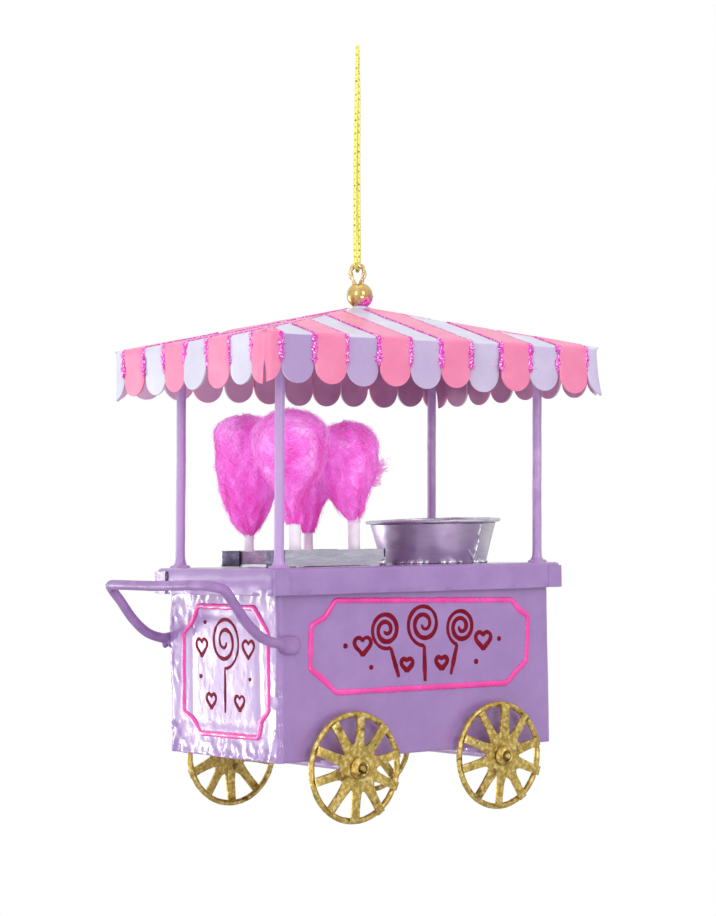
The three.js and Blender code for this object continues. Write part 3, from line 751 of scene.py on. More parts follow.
def canopy_strip(side, k, rng):
    """One painted strip: down from the hip or ridge, over the eave, to its round-ended tab.
    Its kinds are 0 pink, 1 white, 2 the mauve lining behind and 3 lavender on the valance."""
    pink = side.is_pink(k)
    middle = -side.half + k * side.pitch
    first, last = k == 0, k == side.tabs
    sweep = np.linspace(0 if first else -np.pi / 2, 0 if last else np.pi / 2, 9 if first or last else 15)
    across = np.sin(sweep)
    s = middle + across * side.pitch / 2
    round_end = (TAB_DROP - CUSP_DROP) * np.cos(sweep)
    drop = CUSP_DROP + round_end + rng.normal(0, 0.16)
    swing = math.radians(rng.normal(0, 1.7))
    cup = rng.uniform(0.0, 0.25)
    corner_flare = 0.115 if side.name == "front" and last else 0.03 if first or last else 0.0
    top = np.maximum(side.top(s), FOLD + 0.1)
    rows = [-drop * (1 - share) - FOLD * share for share in np.linspace(0, 1, HANG_ROWS + 1)[:-1]]
    rows += [np.full_like(s, t) for t in np.linspace(-FOLD, FOLD, FOLD_ROWS)]
    rows += [FOLD + (top - FOLD) * share for share in np.linspace(0, 1, SLOPE_ROWS + 1)[1:]]
    t = np.array(rows)
    ss = np.broadcast_to(s, t.shape)
    edge = np.abs(across)
    lift = np.where(pink, 0.2, 0.04) - 0.13 * np.clip((edge - 0.86) / 0.14, 0, 1) ** 2
    lift = np.broadcast_to(lift, t.shape)
    wander = 0.12 * bumps(np.stack([ss, t, t * 0 + k], -1), 3.0, k) * (edge > 0.95)
    g, n = side.at(ss + wander, t, lift)
    hang = np.clip(-t - FOLD, 0, None)
    out = hang * math.sin(swing) + corner_flare * hang ** 2 / 6 - cup * edge ** 2 * np.clip(hang / 6, 0, 1)
    if first or last:
        out = np.clip(out, -0.1, 2.0)
        near = np.clip(1 - (side.half - np.abs(ss)) / CORNER_R, 0, 1)
        turn = near * (math.pi / 4 + 0.16)
        hanging = np.clip(0.5 - t / FOLD, 0, 1)
        along = (side.half - np.abs(ss)) - CORNER_R * (1 - np.sin(turn))
        along = np.where(near > 0, along, 0.0) - 0.34 * np.clip((-t - 4.6) / 1.6, 0, 1) * (near > 0.6)
        g = g + side.along * (np.sign(ss) * along * hanging)[..., None]
        g = g + side.inward * (CORNER_R * (1 - np.cos(turn)) * hanging)[..., None]
    g = g - side.inward * out[..., None]
    g = g + n * (0.10 * bumps(g, 6.0, 3 + k))[..., None]
    verts, faces, kinds = sheet(g, CANOPY_TIN)
    thickness = verts[faces[0][0]] - verts[faces[0][0] + t.size]
    if np.dot(thickness, n[0, 0]) < 0:
        verts, faces, kinds = sheet(g[:, ::-1], CANOPY_TIN)
    kinds = np.where(np.array(kinds) == 1, 2, 0 if pink else 1)
    if not pink and side.pale == "lavender":
        kinds[:(HANG_ROWS + 1) * (len(s) - 1)] = 3
    return verts, faces, kinds


def make_canopy():
    for side in SIDES:
        rng = seeded("canopy " + side.name)
        strips = [canopy_strip(side, k, rng) for k in range(side.tabs + 1)]
        nodes = [f"valance_{side.name}"] + (["canopy_roof"] if side.name == "front" else [])
        add(f"canopy_{side.name}", merge([strip[:2] for strip in strips]), [PINK, WHITE, MAUVE, LAVENDER],
            replaces=nodes, kinds=np.concatenate([strip[2] for strip in strips]), sharp=50)
        slope_share = 1.0 if side.name == "rear" else 0.55
        seams, chips, chip_normals = [], [], []
        for k in range(side.tabs):
            s0 = -side.half + (k + 0.5) * side.pitch
            up = float(side.top(s0))
            t = np.arange(-CUSP_DROP + 0.2, up - 0.1, 0.22)
            wander = bumps(np.c_[t, t * 0 + k, t * 0], 1.3, 5 + len(side.name))
            width = 0.50 + 0.42 * wander + rng.uniform(-0.06, 0.12)
            width = np.clip(width, 0.3, 0.85) * np.clip((t + CUSP_DROP) / 0.8, 0.35, 1)
            on_slope = np.clip((t - 0.1) / 1.6, 0, 1)
            thin = (0.16 + 0.14 * wander) * slope_share
            width = width * (1 - on_slope) + np.clip(thin, 0.05, 0.3) * on_slope
            shift = 0.16 * bumps(np.c_[t * 0, t, t * 0 + k], 2.0, 9)
            path, n = side.at(s0 + shift, t, 0.06)
            ragged = (1 + 0.35 * rng.normal(size=len(t)) * (t < 0)).clip(0.5, 1.5)
            seams.append(bead_line(path, n, width * ragged, 0.12 + 0.22 * width, arc=6))
            low_half = np.flatnonzero(t < 0.8)
            pick = np.r_[rng.integers(0, len(t), len(t)), rng.choice(low_half, len(low_half) * 5)]
            spot, m = side.at(s0 + shift[pick] + rng.normal(0, 0.8, len(pick)) * width[pick], t[pick], 0.2)
            chips.append(spot)
            chip_normals.append(m)
        grains = flakes(np.vstack(chips), 0.1, "chips " + side.name, np.vstack(chip_normals))
        add(f"glitter_{side.name}", merge(seams + [grains]), GLITTER)


make_canopy()


def make_roof_lining():
    """The roof's own sheet under the painted strips, seen from below."""
    under, over = 0.85, 0.32
    levels = [(0.075, ROOF_FLAT_Z - under)]
    levels += [(share, APEX_Z - RISE * share - under) for share in (0.4, 0.7, 0.985)]
    levels += [(share, APEX_Z - RISE * share - over) for share in (0.985, 0.7, 0.4)]
    levels += [(0.075, ROOF_FLAT_Z - 0.2)]
    loops = []
    for share, level in levels:
        corners = np.array([(sx * share * CANOPY_L / 2 + CANOPY_X, sy * share * CANOPY_W / 2, level)
                            for sx, sy in ((-1, -1), (1, -1), (1, 1), (-1, 1))])
        loop = np.vstack([steps(a, b, 12) for a, b in zip(corners, np.roll(corners, -1, 0))])
        loop[:, 2] += 0.08 * bumps(loop, 7.0, 4)
        loops.append(loop)
    add("roof_lining", loft(loops), MAUVE)


make_roof_lining()


# ---------------------------------------------------------------- body, lid, posts
def rounded_rect(hx, hy, r, step):
    """Counter-clockwise outline with evenly divided sides; the same hx/hy ratio keeps the count."""
    pts = []
    sides = [((hx, -hy + r), (hx, hy - r)), ((hx - r, hy), (-hx + r, hy)), ((-hx, hy - r), (-hx, -hy + r)),
             ((-hx + r, -hy), (hx - r, -hy))]
    centres = [(hx - r, hy - r), (-hx + r, hy - r), (-hx + r, -hy + r), (hx - r, -hy + r)]
    counts = [round(BODY_W / step), round(BODY_L / step)] * 2
    for q, ((a, b), c, k) in enumerate(zip(sides, centres, counts)):
        pts.append(steps(a, b, k))
        ang = np.linspace(0, np.pi / 2, 5)[:-1] + q * np.pi / 2
        pts.append(np.array(c) + r * np.c_[np.cos(ang), np.sin(ang)])
    return np.vstack(pts)


def facing(xy, size, near):
    """Outward direction at points of an outline, from the sides that they lie near."""
    share = xy * (1 / np.array(size))
    return unit(share * (np.abs(share) > near))


PANEL_Y, PANEL_Z, PANEL_HALF_W, PANEL_HALF_H = -0.7, 27, 13.0, 11.5


def crinkle(p):
    """How far the body's sheet stands out of true at each point. The left end is creased round its
    painted panel, which stays nearly flat inside a groove."""
    left = np.clip((-p[:, 0] - BODY_L / 2 + 1.2) / 1.2, 0, 1)
    y, z = p[:, 1], p[:, 2]
    reach = np.maximum(np.abs(y - PANEL_Y) / PANEL_HALF_W, np.abs(z - PANEL_Z) / PANEL_HALF_H)
    inside = np.clip(1.35 - reach, 0, 1)
    bent = p + 0.9 * np.stack([p[:, 0] * 0, bumps(p, 2.4, 11), bumps(p, 2.4, 12)], 1)
    sharp = 1 - 2 * np.abs(bumps(bent, 2.6, 6))
    fine = 1 - 2 * np.abs(bumps(bent, 1.1, 8))
    where = np.clip(0.7 + 1.5 * bumps(p, 9.0, 15) + 0.5 * (z < 17), 0.12, 1.2)
    rough = where * (0.30 * sharp + 0.17 * fine) * (1 - 0.93 * np.clip(inside * 3, 0, 1))
    groove = -0.10 * np.exp(-((reach - 0.84) / 0.06) ** 2) + 0.009 * bumps(p, 1.1, 19)
    return left * (rough + groove) + 0.05 * bumps(p, 9.0, 1) + 0.02 * bumps(p, 3.0, 2)


def make_body():
    outline = rounded_rect(BODY_L / 2, BODY_W / 2, 0.9, 0.4)
    inner = rounded_rect(BODY_L / 2 - 0.6, BODY_W / 2 - 0.6, 0.3, 0.4)
    top = COUNTER_TOP - 0.9
    n = facing(outline, (BODY_L, BODY_W), 0.48)
    loops = []
    for z in [BODY_BOTTOM] + list(np.linspace(BODY_BOTTOM + 0.12, top, 82)):
        p = np.c_[outline, np.full(len(outline), z)]
        pull = 0.12 if z == BODY_BOTTOM else 0.0
        p[:, :2] += n * (crinkle(p) - pull)[:, None]
        p[:, 2] += 0.12 * bumps(p * [1, 1, 0], 11.0, 3) * (z < 12)
        loops.append(p)
    for z in np.linspace(top, BODY_BOTTOM + 0.02, 10):
        loops.append(np.c_[inner, np.full(len(inner), z)])
    add("body_shell", loft(loops, ring=True), LILAC, replaces=["body_wall"], sharp=55)

    half = rounded_rect(BODY_L / 2 - 0.9, BODY_W / 2 - 0.9, 0.6, 1.5)
    loops = []
    for k, lift in ((0.0, 0.3), (0.35, 0.3), (0.7, 0.3), (0.98, 0.3), (1.0, 0.4), (1.0, 0.8), (0.98, 0.9), (0.7, 0.9),
                    (0.35, 0.9), (0.0, 0.9)):
        p = np.c_[half * max(k, 0.02), np.full(len(half), BODY_BOTTOM + lift)]
        p[:, 2] += 0.1 * bumps(p * [1, 1, 0], 8.0, 5) * (k < 0.99)
        loops.append(p)
    add("body_base", loft(loops), LILAC, replaces=["body_bottom"])


make_body()


def make_lid():
    hx, hy = BODY_L / 2 + LID_OVER_X, BODY_W / 2 + LID_OVER_Y
    low = COUNTER_TOP - SKIRT_H
    profile = [(0.62, low + 0.05), (0.5, low), (0.12, low), (0.0, low + 0.1), (0.0, low + 1.2), (0.0, low + 2.6),
               (0.0, COUNTER_TOP - 0.75), (0.1, COUNTER_TOP - 0.34), (0.34, COUNTER_TOP - 0.1), (0.75, COUNTER_TOP)]
    profile += [(d, COUNTER_TOP) for d in (2.0, 4.0, 7.0, 10.0, 13.0, 16.0, 18.4)]
    profile += [(d, COUNTER_TOP - 0.6) for d in (18.4, 13.0, 7.0, 2.0, 0.7)]
    profile += [(0.62, COUNTER_TOP - 0.75), (0.62, low + 2.0)]
    loops = []
    for d, z in profile:
        r = max(0.15, 0.7 - d * 0.5)
        p = rounded_rect(hx - d, hy - d, min(r, hy - d - 0.05), 0.9)
        p = np.c_[p, np.full(len(p), z)]
        skirt = np.clip((COUNTER_TOP - 0.4 - z) / 3, 0, 1)
        away = np.c_[facing(p[:, :2], (hx, hy), 0.93), np.zeros(len(p))]
        if d < 1:
            at_end = np.clip((-p[:, 0] - hx + 1.5) / 1.2, 0, 1) * np.clip((-p[:, 1] - 6) / 8, 0.15, 1)
            fold = 1 - 2 * np.abs(bumps(p * [1, 0.7, 1], 2.6, 31))
            p += away * (0.17 * at_end * fold * np.clip(skirt * 2, 0, 1))[:, None]
            p += away * ((0.14 * bumps(p * [1, 1, 0.3], 7.0, 12) + 0.05 * bumps(p, 2.5, 3)) * skirt)[:, None]
            p[:, 2] += 0.13 * bumps(p * [1, 1, 0], 9.0, 14) * (z < low + 1)
        else:
            p[:, 2] += 0.07 * bumps(p * [1, 1, 0], 8.0, 15)
        loops.append(p)
    lid = loft(loops, ring=True)
    tall = (0, 0, SKIRT_H - 0.7)
    laps = []
    for sx in (-1, 1):
        for sy in (-1, 1):
            corner = (sx * hx, sy * (hy + 0.02), low + 0.1)
            lap = panel(corner, (-sx * 3.2, 0, 0), tall, 8, 8, 0.16, 0.05, sx + 2 * sy)[:2]
            lap[0][:, 1] += sy * 0.12
            laps.append(lap)
    flap = panel((-hx - 0.02, hy, low + 0.1), (0, -3.6, 0), tall, 8, 8, 0.16, 0.05, 9)[:2]
    flap[0][:, 0] -= 0.2
    # A dark lump in the fold's gap: painted shade.
    gap = blob((-hx - 0.12, hy - 3.9, COUNTER_TOP - 1.5), (0.16, 0.32, 0.95), 7)
    parts = [lid] + laps + [flap, gap]
    kinds = sum([[int(p is gap)] * len(p[1]) for p in parts], [])
    add("counter_top", merge(parts), [LILAC_LID, TIN_PAINTED_SHADE], replaces=["counter_lid"],
        kinds=kinds, sharp=50)


make_lid()


def make_posts():
    for name, sx, sy in CORNERS:
        bottom, top = COUNTER_TOP - 0.1, 85.3
        z = np.linspace(bottom, top, 70)
        k = (z - bottom) / (top - bottom)
        path = np.c_[sx * POST_X + POST_LEAN * k, np.full_like(z, sy * POST_Y), z]
        path[:, 0] += 0.10 * bumps(path, 9.0, sx + 2) * np.sin(np.pi * k)
        path[:, 1] += 0.10 * bumps(path, 9.0, sy + 7) * np.sin(np.pi * k)
        flare = 0.95 * np.exp(-(z - bottom) / 0.55) + 0.7 * np.exp(-(top - z) / 0.6)
        sides = 18
        a = around(sides)
        spots = path[:, None] + np.stack([np.cos(a), np.sin(a), a * 0], -1)[None] * 0.9
        uneven = bumps(spots, 1.1, 5 * sx + sy)
        radius = (POST_R + POST_PAINT + flare[:, None] * (1 + 0.7 * uneven)) * (1 + 0.03 * uneven)
        solid = tube(path, radius, sides)
        lumps = [blob((sx * POST_X + 0.5 * q, sy * POST_Y + 0.7 * w, COUNTER_TOP + 0.1), (1.3, 1.1, 0.5),
                      q * 3 + w + sx) for q, w in ((-1, 0.4), (1, -0.7), (0.2, 1))]
        add(f"post_wire_{name}", merge([solid] + lumps), LILAC_WIRE, replaces=[f"post_{name}"])


make_posts()


# ---------------------------------------------------------------- painted panels
FRONT_BORDER = [(-18.9, 39.3), (21.9, 38.3), (23.6, 36.5), (25.8, 35.15), (25.1, 26.75), (22.4, 24.8), (20.4, 22.9),
                (-19.0, 23.1), (-21.5, 25.4), (-24.5, 27.5), (-24.2, 35.0), (-21.0, 36.5)]
END_BORDER = [(8.1, 38.3), (-10.1, 38.2), (-14.4, 33.9), (-14.4, 20.4), (-11.9, 18.5), (-11.2, 15.5), (7.6, 15.3),
              (10.3, 17.7), (13.3, 19.0), (13.0, 33.3), (9.9, 35.5)]


def spiral(cx, cz, start, end, turns, phase):
    k = np.linspace(0, 1, 90)
    r = start + (end - start) * k ** 0.85
    a = phase + turns * 2 * np.pi * k
    return np.c_[cx + r * np.cos(a), cz + r * np.sin(a)]


def swirl_on_stick(cx, cz, size, lean):
    """Generic ornament: a round swirl standing on a stick that leans by an angle."""
    swirl = spiral(0, size * 0.42, size * 0.05, size * 0.5, 2.2, math.radians(-90 - 2.2 * 360))
    stick = np.c_[np.linspace(0, 0.1, 16), np.linspace(-size * 0.08, -size * 0.9, 16)]
    c, s = math.cos(lean), math.sin(lean)
    return [np.c_[cx + q[:, 0] * c + q[:, 1] * s, cz - q[:, 0] * s + q[:, 1] * c] for q in (swirl, stick)]


def heart(cx, cz, size):
    a = np.linspace(0, 2 * np.pi, 60)
    px = size * 0.5 * np.sin(a) ** 3
    pz = size * (0.41 * np.cos(a) - 0.16 * np.cos(2 * a) - 0.06 * np.cos(3 * a) - 0.03 * np.cos(4 * a))
    return np.c_[cx + px, cz + pz]


def dot(cx, cz, size):
    return np.c_[np.linspace(cx - size * 0.42, cx + size * 0.42, 8), np.full(8, cz)]


def make_labels():
    faces = {
        "front": (lambda p: np.c_[p[:, 0], np.full(len(p), -BODY_W / 2), p[:, 1]], (0, -1, 0), FRONT_BORDER, True),
        "rear": (lambda p: np.c_[-p[:, 0], np.full(len(p), BODY_W / 2), p[:, 1]], (0, 1, 0), FRONT_BORDER, True),
        "left": (lambda p: np.c_[np.full(len(p), -BODY_L / 2), p[:, 0], p[:, 1]], (-1, 0, 0), END_BORDER, False),
        "right": (lambda p: np.c_[np.full(len(p), BODY_L / 2), p[:, 0], p[:, 1]], (1, 0, 0), END_BORDER, False),
    }
    for name, (place, normal, border, wide) in faces.items():
        line = polyline(border, 0.3, True, 3)
        line = np.vstack([line, line[:2]])
        p = place(line)
        width = 0.52 + 0.12 * bumps(p, 2.5, 2 + len(name)) + 0.05 * bumps(p, 0.7, 4)
        add(f"border_{name}", bead_line(p, normal, width, 0.34 + 0.1 * bumps(p, 3.0, 7), arc=9), HOT_PINK)
        strokes = []
        if wide:
            stroke_w = 0.4
            for cx, cz, size, lean in ((0.9, 31.2, 7.8, 0.0), (-6.9, 31.0, 6.8, -0.3), (8.7, 31.0, 6.8, 0.3)):
                strokes += swirl_on_stick(cx, cz, size, lean)
            strokes += [heart(-3.1, 27.4, 2.6), heart(4.9, 27.4, 2.6)]
            strokes += [heart(-13.0, 31.2, 3.6), heart(14.8, 31.2, 3.6)]
            spots = ((-11.2, 27.2), (13.0, 27.2), (-16.8, 31.2), (18.6, 31.2))
        else:
            stroke_w = 0.33
            strokes += swirl_on_stick(-0.6, 28.0, 9.6, 0.0)
            for fx in (-1, 1):
                strokes += [heart(-0.6 + fx * 7.6, 31.0, 3.6), heart(-0.6 + fx * 4.6, 21.4, 3.0)]
            spots = ((-8.6, 25.6), (7.4, 25.6), (-7.0, 35.4), (5.8, 35.4))
        strokes += [dot(cx, cz, 1.0) for cx, cz in spots]
        parts = []
        for i, q in enumerate(strokes):
            p = place(q)
            k = np.linspace(0, 1, len(p))
            width = stroke_w * (0.85 + 0.35 * np.sin(np.pi * k)) + 0.1 * bumps(p, 1.2, i)
            parts.append(bead_line(p, normal, width, 0.1 + 0.04 * bumps(p, 1.5, i + 3), arc=7))
        add(f"motif_{name}", merge(parts), DARK_RED)


make_labels()


# ---------------------------------------------------------------- handle
def make_handle():
    side = [(-26.9, 31.75), (-28.8, 31.8), (-31.8, 32.2), (-35.2, 33.3), (-38.3, 35.9), (-41.0, 39.4), (-42.8, 41.6)]
    bend = [(-44.2, -16.7, 42.35), (-44.6, -13, 42.5), (-44.6, 0, 42.3), (-44.6, 13, 42.4), (-44.2, 16.7, 42.3)]
    knots = [(x, -HANDLE_Y, z) for x, z in side] + bend + [(x, HANDLE_Y, z) for x, z in reversed(side)]
    path = spline(knots, 0.35)
    run = run_along(path)
    ends = np.minimum(run, run[-1] - run)
    rounded = np.sqrt(np.clip(1 - (1 - np.clip(ends / 1.1, 0, 1)) ** 2, 0.05, 1))
    radius = (HANDLE_R * rounded + 0.02 * bumps(path, 2.0, 4)) * (1 + HANDLE_PAINT / HANDLE_R)
    verts, faces = tube(path, radius, 20)
    flat = np.clip((verts[:, 0] + 32.2) / 2.6, 0, 1)  # 1 where the wire's ends are hammered flat
    flat = flat * flat * (3 - 2 * flat)
    thinner, taller = 0.42, 1.75
    middle_z = np.interp(-verts[:, 0], [26.9, 28.8, 31.8, 35.2], [31.75, 31.8, 32.2, 33.3])
    middle_y = np.sign(verts[:, 1]) * HANDLE_Y
    verts[:, 1] = middle_y + (verts[:, 1] - middle_y) * (1 - thinner * flat) - np.sign(middle_y) * thinner * flat
    verts[:, 2] = middle_z * flat + verts[:, 2] * (1 - flat) + (verts[:, 2] - middle_z) * flat * taller
    lumps = []
    for s in (-1, 1):
        y = s * (BODY_W / 2 + 0.25)
        lumps.append(blob((-29.2, y - 0.1 * s, 31.4), (2.4, 0.5, 1.25), 3 + s, 0.08, 14, 24))
    lumps.append(blob((-31.4, HANDLE_Y + 0.1, 31.3), (0.7, 0.6, 0.9), 21, 0.15, 12, 20))
    add("handle_wire", merge([(verts, faces)] + lumps), LILAC_HANDLE, replaces=["push_handle"],
        sharp=60)


make_handle()


# ---------------------------------------------------------------- tray, sticks, floss
def make_tray():
    length, width = TRAY_X1 - TRAY_X0, 2 * TRAY_HALF_W
    z = COUNTER_TOP + 0.12
    parts, kinds = [], []

    def plate(corner, along, across, nu, nv, thickness, wave, seed, kind=0):
        """Adds a sheet; its kind is 0 bare tin, 1 tin darkened as painted shade for the end laps or 2 tin in mauve as
        painted shade and reflection for the end walls.
        """
        solid = panel(corner, along, across, nu, nv, thickness, wave, seed)
        parts.append(solid[:2])
        kinds.extend([kind] * len(solid[1]))

    tin, inner, fold_run = 0.4, width - 0.6, 6.0
    plate((TRAY_X0 + 0.3, -TRAY_HALF_W + 0.2, z + 0.4), (0, width - 0.4, 0), (length - 0.6, 0, 0), 20, 22, tin,
          0.05, 0)
    for sy in (-1, 1):
        start = (TRAY_X0 if sy < 0 else TRAY_X1, sy * TRAY_HALF_W, z)
        plate(start, (0, 0, TRAY_H), (-sy * length, 0, 0), 8, 30, tin, 0.06, 2 + sy)
    for sx in (-1, 1):
        end = TRAY_X0 if sx < 0 else TRAY_X1
        start = (end - sx * 0.45, -sx * (TRAY_HALF_W - 0.3), z)
        plate(start, (0, 0, TRAY_H - 0.15), (0, sx * inner, 0), 8, 24, tin, 0.05, 5 + sx, 2)
        for sy in (-1, 1):
            y = sy * TRAY_HALF_W
            if sx == sy:
                start, run = y - sy * fold_run, sy * fold_run
            else:
                start, run = y, -sy * fold_run
            plate((end, start, z), (0, 0, TRAY_H), (0, run, 0), 8, 10, 0.34, 0.08, 9 + sx + 3 * sy, 1)
    add("tray_tin", merge(parts), [TIN, TIN_PAINTED_SHADE, TIN_PAINTED_MAUVE_SHADE], replaces=["tray"], kinds=kinds,
        sharp=30)
    lumps = [blob((TRAY_X1 - 0.6, -TRAY_HALF_W - 0.1, z + 0.4), (0.7, 0.45, 0.6), 3),
             blob((TRAY_X1 + 0.3, -TRAY_HALF_W + 1.2, z + 0.15), (0.6, 0.9, 0.35), 4),
             blob((TRAY_X0 + 3.0, -TRAY_HALF_W - 0.1, z + 0.02), (1.0, 0.3, 0.22), 5)]
    add("tray_solder", merge(lumps), SOLDER)


make_tray()

# Outline of a ball of floss, as shares of its height and of its widest radius, stick end first.
PLUMP = [(0, 0.12), (0.03, 0.24), (0.13, 0.5), (0.25, 0.68), (0.42, 0.83), (0.62, 0.95), (0.86, 0.99), (0.93, 0.85),
         (0.97, 0.6), (1, 0.03)]
NECKED = [(0, 0.2), (0.03, 0.25), (0.12, 0.33), (0.24, 0.41), (0.33, 0.6), (0.46, 0.85), (0.64, 0.99), (0.82, 0.97),
          (0.91, 0.76), (0.97, 0.46), (1, 0.03)]
ROUND = [(0, 0.18), (0.03, 0.25), (0.13, 0.52), (0.22, 0.65), (0.36, 0.84), (0.53, 0.97), (0.8, 1.0), (0.91, 0.82),
         (0.97, 0.5), (1, 0.03)]
# name, stick x and y, stick radius, ball radius, lowest and highest z, outline, sideways lean
FLOSS_PLACES = [
    ("front_left", -19.8, -7.0, 1.1, 6.9, 52.9, 73.4, NECKED, (-0.4, 0.3)),
    ("front_right", -6.6, -7.0, 1.1, 5.5, 53.3, 71.4, ROUND, (-0.8, 0.6)),
    ("rear_left", -20.4, 7.0, 0.9, 6.3, 50.9, 73.0, PLUMP, (-0.1, 0.1)),
    ("rear_right", -7.0, 7.0, 0.9, 5.7, 51.4, 70.3, NECKED, (0.3, -0.2)),
]
STRANDS, STRAND_STEPS, STRAND_SIDES = 5200, 5, 3
TUFT = 180  # strands of the tuft that stands out of one ball
# Middle of a painted highlight, a lighter patch on the front right ball of floss.
PAINTED_HIGHLIGHT_SPOT = (-10.4, -10.0, 67.6)


def strand_mesh(path, thick):
    """Closed three-sided fibres, one along each row of points in path."""
    count, points = path.shape[:2]
    t = unit(np.gradient(path, axis=1))
    n1 = unit(np.cross(t, [0.31, 0.22, 0.92]))
    n2 = np.cross(t, n1)
    rings = []
    for k in range(STRAND_SIDES):
        q = 2 * np.pi * k / STRAND_SIDES
        rings.append(path + (n1 * math.cos(q) + n2 * math.sin(q)) * thick[..., None])
    verts = np.stack(rings, 2).reshape(-1, 3)
    one = []
    for j in range(points - 1):
        for k in range(STRAND_SIDES):
            m = (k + 1) % STRAND_SIDES
            lo, hi = j * STRAND_SIDES, (j + 1) * STRAND_SIDES
            one.append((lo + k, lo + m, hi + m, hi + k))
    base = (np.arange(count) * points * STRAND_SIDES)[:, None, None]
    faces = (base + np.array(one)[None]).reshape(-1, 4).tolist()
    end = (points - 1) * STRAND_SIDES
    caps = (base + np.array([(2, 1, 0), (end, end + 1, end + 2)])[None]).reshape(-1, 3).tolist()
    return verts, faces + caps


def make_floss(name, x, y, stick_r, r, z0, z1, outline, lean):
    rng = seeded("floss " + name)
    shape = np.array(outline)
    pr, pz = shape[:, 1] * r, z0 + shape[:, 0] * (z1 - z0)
    along = np.r_[0, np.cumsum(np.hypot(np.diff(pr), np.diff(pz)))]
    along = along / along[-1]
    lobe = rng.uniform(0, 50)

    def skin(s, theta, lift):
        """Point of the ball: s from the stick to the crown, theta round it, lift off its skin."""
        s, theta = np.broadcast_arrays(s, theta)
        rr, zz = np.interp(s, along, pr), np.interp(s, along, pz)
        dr, dz = (np.interp(s + 0.03, along, v) - np.interp(s - 0.03, along, v) for v in (pr, pz))
        size = np.hypot(dr, dz) + 1e-9
        d = np.stack([np.cos(theta), np.sin(theta), (zz - z0) / 8], -1)
        big, small = bumps(d, 0.8, lobe), bumps(d, 0.3, lobe + 2)
        puff = lift + r * (0.11 * big + 0.05 * small - 0.03) * np.clip(rr / (0.5 * r), 0, 1)
        q = rr + puff * dz / size
        tilt = np.clip((zz - z0) / 4, 0, 1)
        px = x + lean[0] * tilt + q * np.cos(theta)
        py = y + lean[1] * tilt + q * np.sin(theta)
        return np.stack([px, py, zz - puff * dr / size], -1), big, small

    def tone_of_dye_and_painted_light(big, small, place):
        """Painted shade and highlight: lighter on the puffs, deeper in the folds and towards the stick, and lighter in
        one place.
        """
        # painted shade, deeper towards the stick
        low = np.clip(1 - (place[:, 2] - z0) / (0.5 * (z1 - z0)), 0, 1)
        # a painted highlight round one place on the front right ball
        thin = np.exp(-(np.linalg.norm((place - PAINTED_HIGHLIGHT_SPOT) / [1, 1, 0.7], axis=1) / 2.6) ** 2)
        return 0.62 + 0.6 * big + 0.35 * small - 0.22 * low + 0.45 * thin

    cols, rows = 110, 84
    a = around(cols)
    loops, tones = [], []
    for s in np.linspace(0, 1, rows):
        loop, big, small = skin(s, a, -0.07)
        loop += 0.05 * bumps(loop * [1, 1, 0.5], 0.5, 3)[:, None] * unit(loop - [x, y, loop[0, 2]])
        loops.append(loop)
        tones.append(np.clip(tone_of_dye_and_painted_light(big, small, loop), 0, 1))
    core = loft(loops)

    start = rng.uniform(0.0, 0.97, STRANDS) ** 0.9
    reach = rng.uniform(0.03, 0.17, STRANDS) * rng.choice([-1, 1], STRANDS)
    theta = rng.uniform(0, 2 * np.pi, STRANDS)
    sway = rng.normal(0, 0.5, STRANDS)
    puff = np.abs(rng.normal(0, 0.14, STRANDS)) + 0.02
    wild = (rng.random(STRANDS) < 0.1 + 0.25 * (start > 0.75)) * rng.uniform(0.15, 0.9, STRANDS)
    u = np.linspace(0, 1, STRAND_STEPS)[None]
    s = np.clip(start[:, None] + reach[:, None] * u, 0.0, 0.985)
    ang = theta[:, None] + sway[:, None] * u + 0.12 * np.sin(u * 5 + theta[:, None] * 7)
    lift = puff[:, None] * np.sin(np.pi * (u * 0.9 + 0.05)) + wild[:, None] * u ** 1.6 - 0.1
    path, big, small = skin(s, ang, lift)
    if name == "front_right":
        base, _, _ = skin(rng.uniform(0.3, 0.52, TUFT), rng.normal(-0.64, 0.2, TUFT), -0.3)
        tip = base + [1.0, -0.75, 0.5] + rng.normal(scale=0.5, size=(TUFT, 3))
        mid = (base + tip) / 2 + [1.1, -0.8, 0.3] + rng.normal(scale=0.6, size=(TUFT, 3))
        k = u[..., None]
        path[:TUFT] = base[:, None] * (1 - k) ** 2 + 2 * mid[:, None] * k * (1 - k) + tip[:, None] * k ** 2
    thick = rng.uniform(0.02, 0.045, STRANDS)[:, None] * (0.3 + 0.7 * np.sin(np.pi * (u * 0.9 + 0.05)))
    tone = np.clip(tone_of_dye_and_painted_light(big[:, 0], small[:, 0], path[:, 0]) + rng.normal(0, 0.14, STRANDS), 0, 1)
    fibres = strand_mesh(path, thick)
    add(f"floss_fluff_{name}", merge([core, fibres]), FLOSS, replaces=[f"floss_{name}"],
        tones=np.concatenate(tones + [np.repeat(tone, STRAND_STEPS * STRAND_SIDES)]), sharp=180)

    bottom, top = COUNTER_TOP + 0.55, z0 + (z1 - z0) * 0.6 - 0.3
    z = np.linspace(bottom, top, 60)
    sides = 24
    wrap_pitch = 3.4
    wrap = (around(sides)[None] / (2 * np.pi) + z[:, None] / wrap_pitch) % 1
    radius = stick_r * (0.965 + 0.035 * wrap)
    radius[0] *= 0.9
    path = np.c_[np.full_like(z, x), np.full_like(z, y), z]
    stick = tube(path, radius, sides)
    foot = blob((x, y, COUNTER_TOP + 0.7), (stick_r + 0.5, stick_r + 0.4, 0.35), 3 + len(name))
    add(f"stick_paper_{name}", merge([stick, foot]), STICK, replaces=[f"stick_{name}"])


for place in FLOSS_PLACES:
    make_floss(*place)


# ---------------------------------------------------------------- bowl
BOWL_R, BOWL_FLARE, BOWL_TIN = 10.0, 2.0, 0.45
SEAM_ANGLE, SPILL_ANGLE = math.radians(281), math.radians(270)


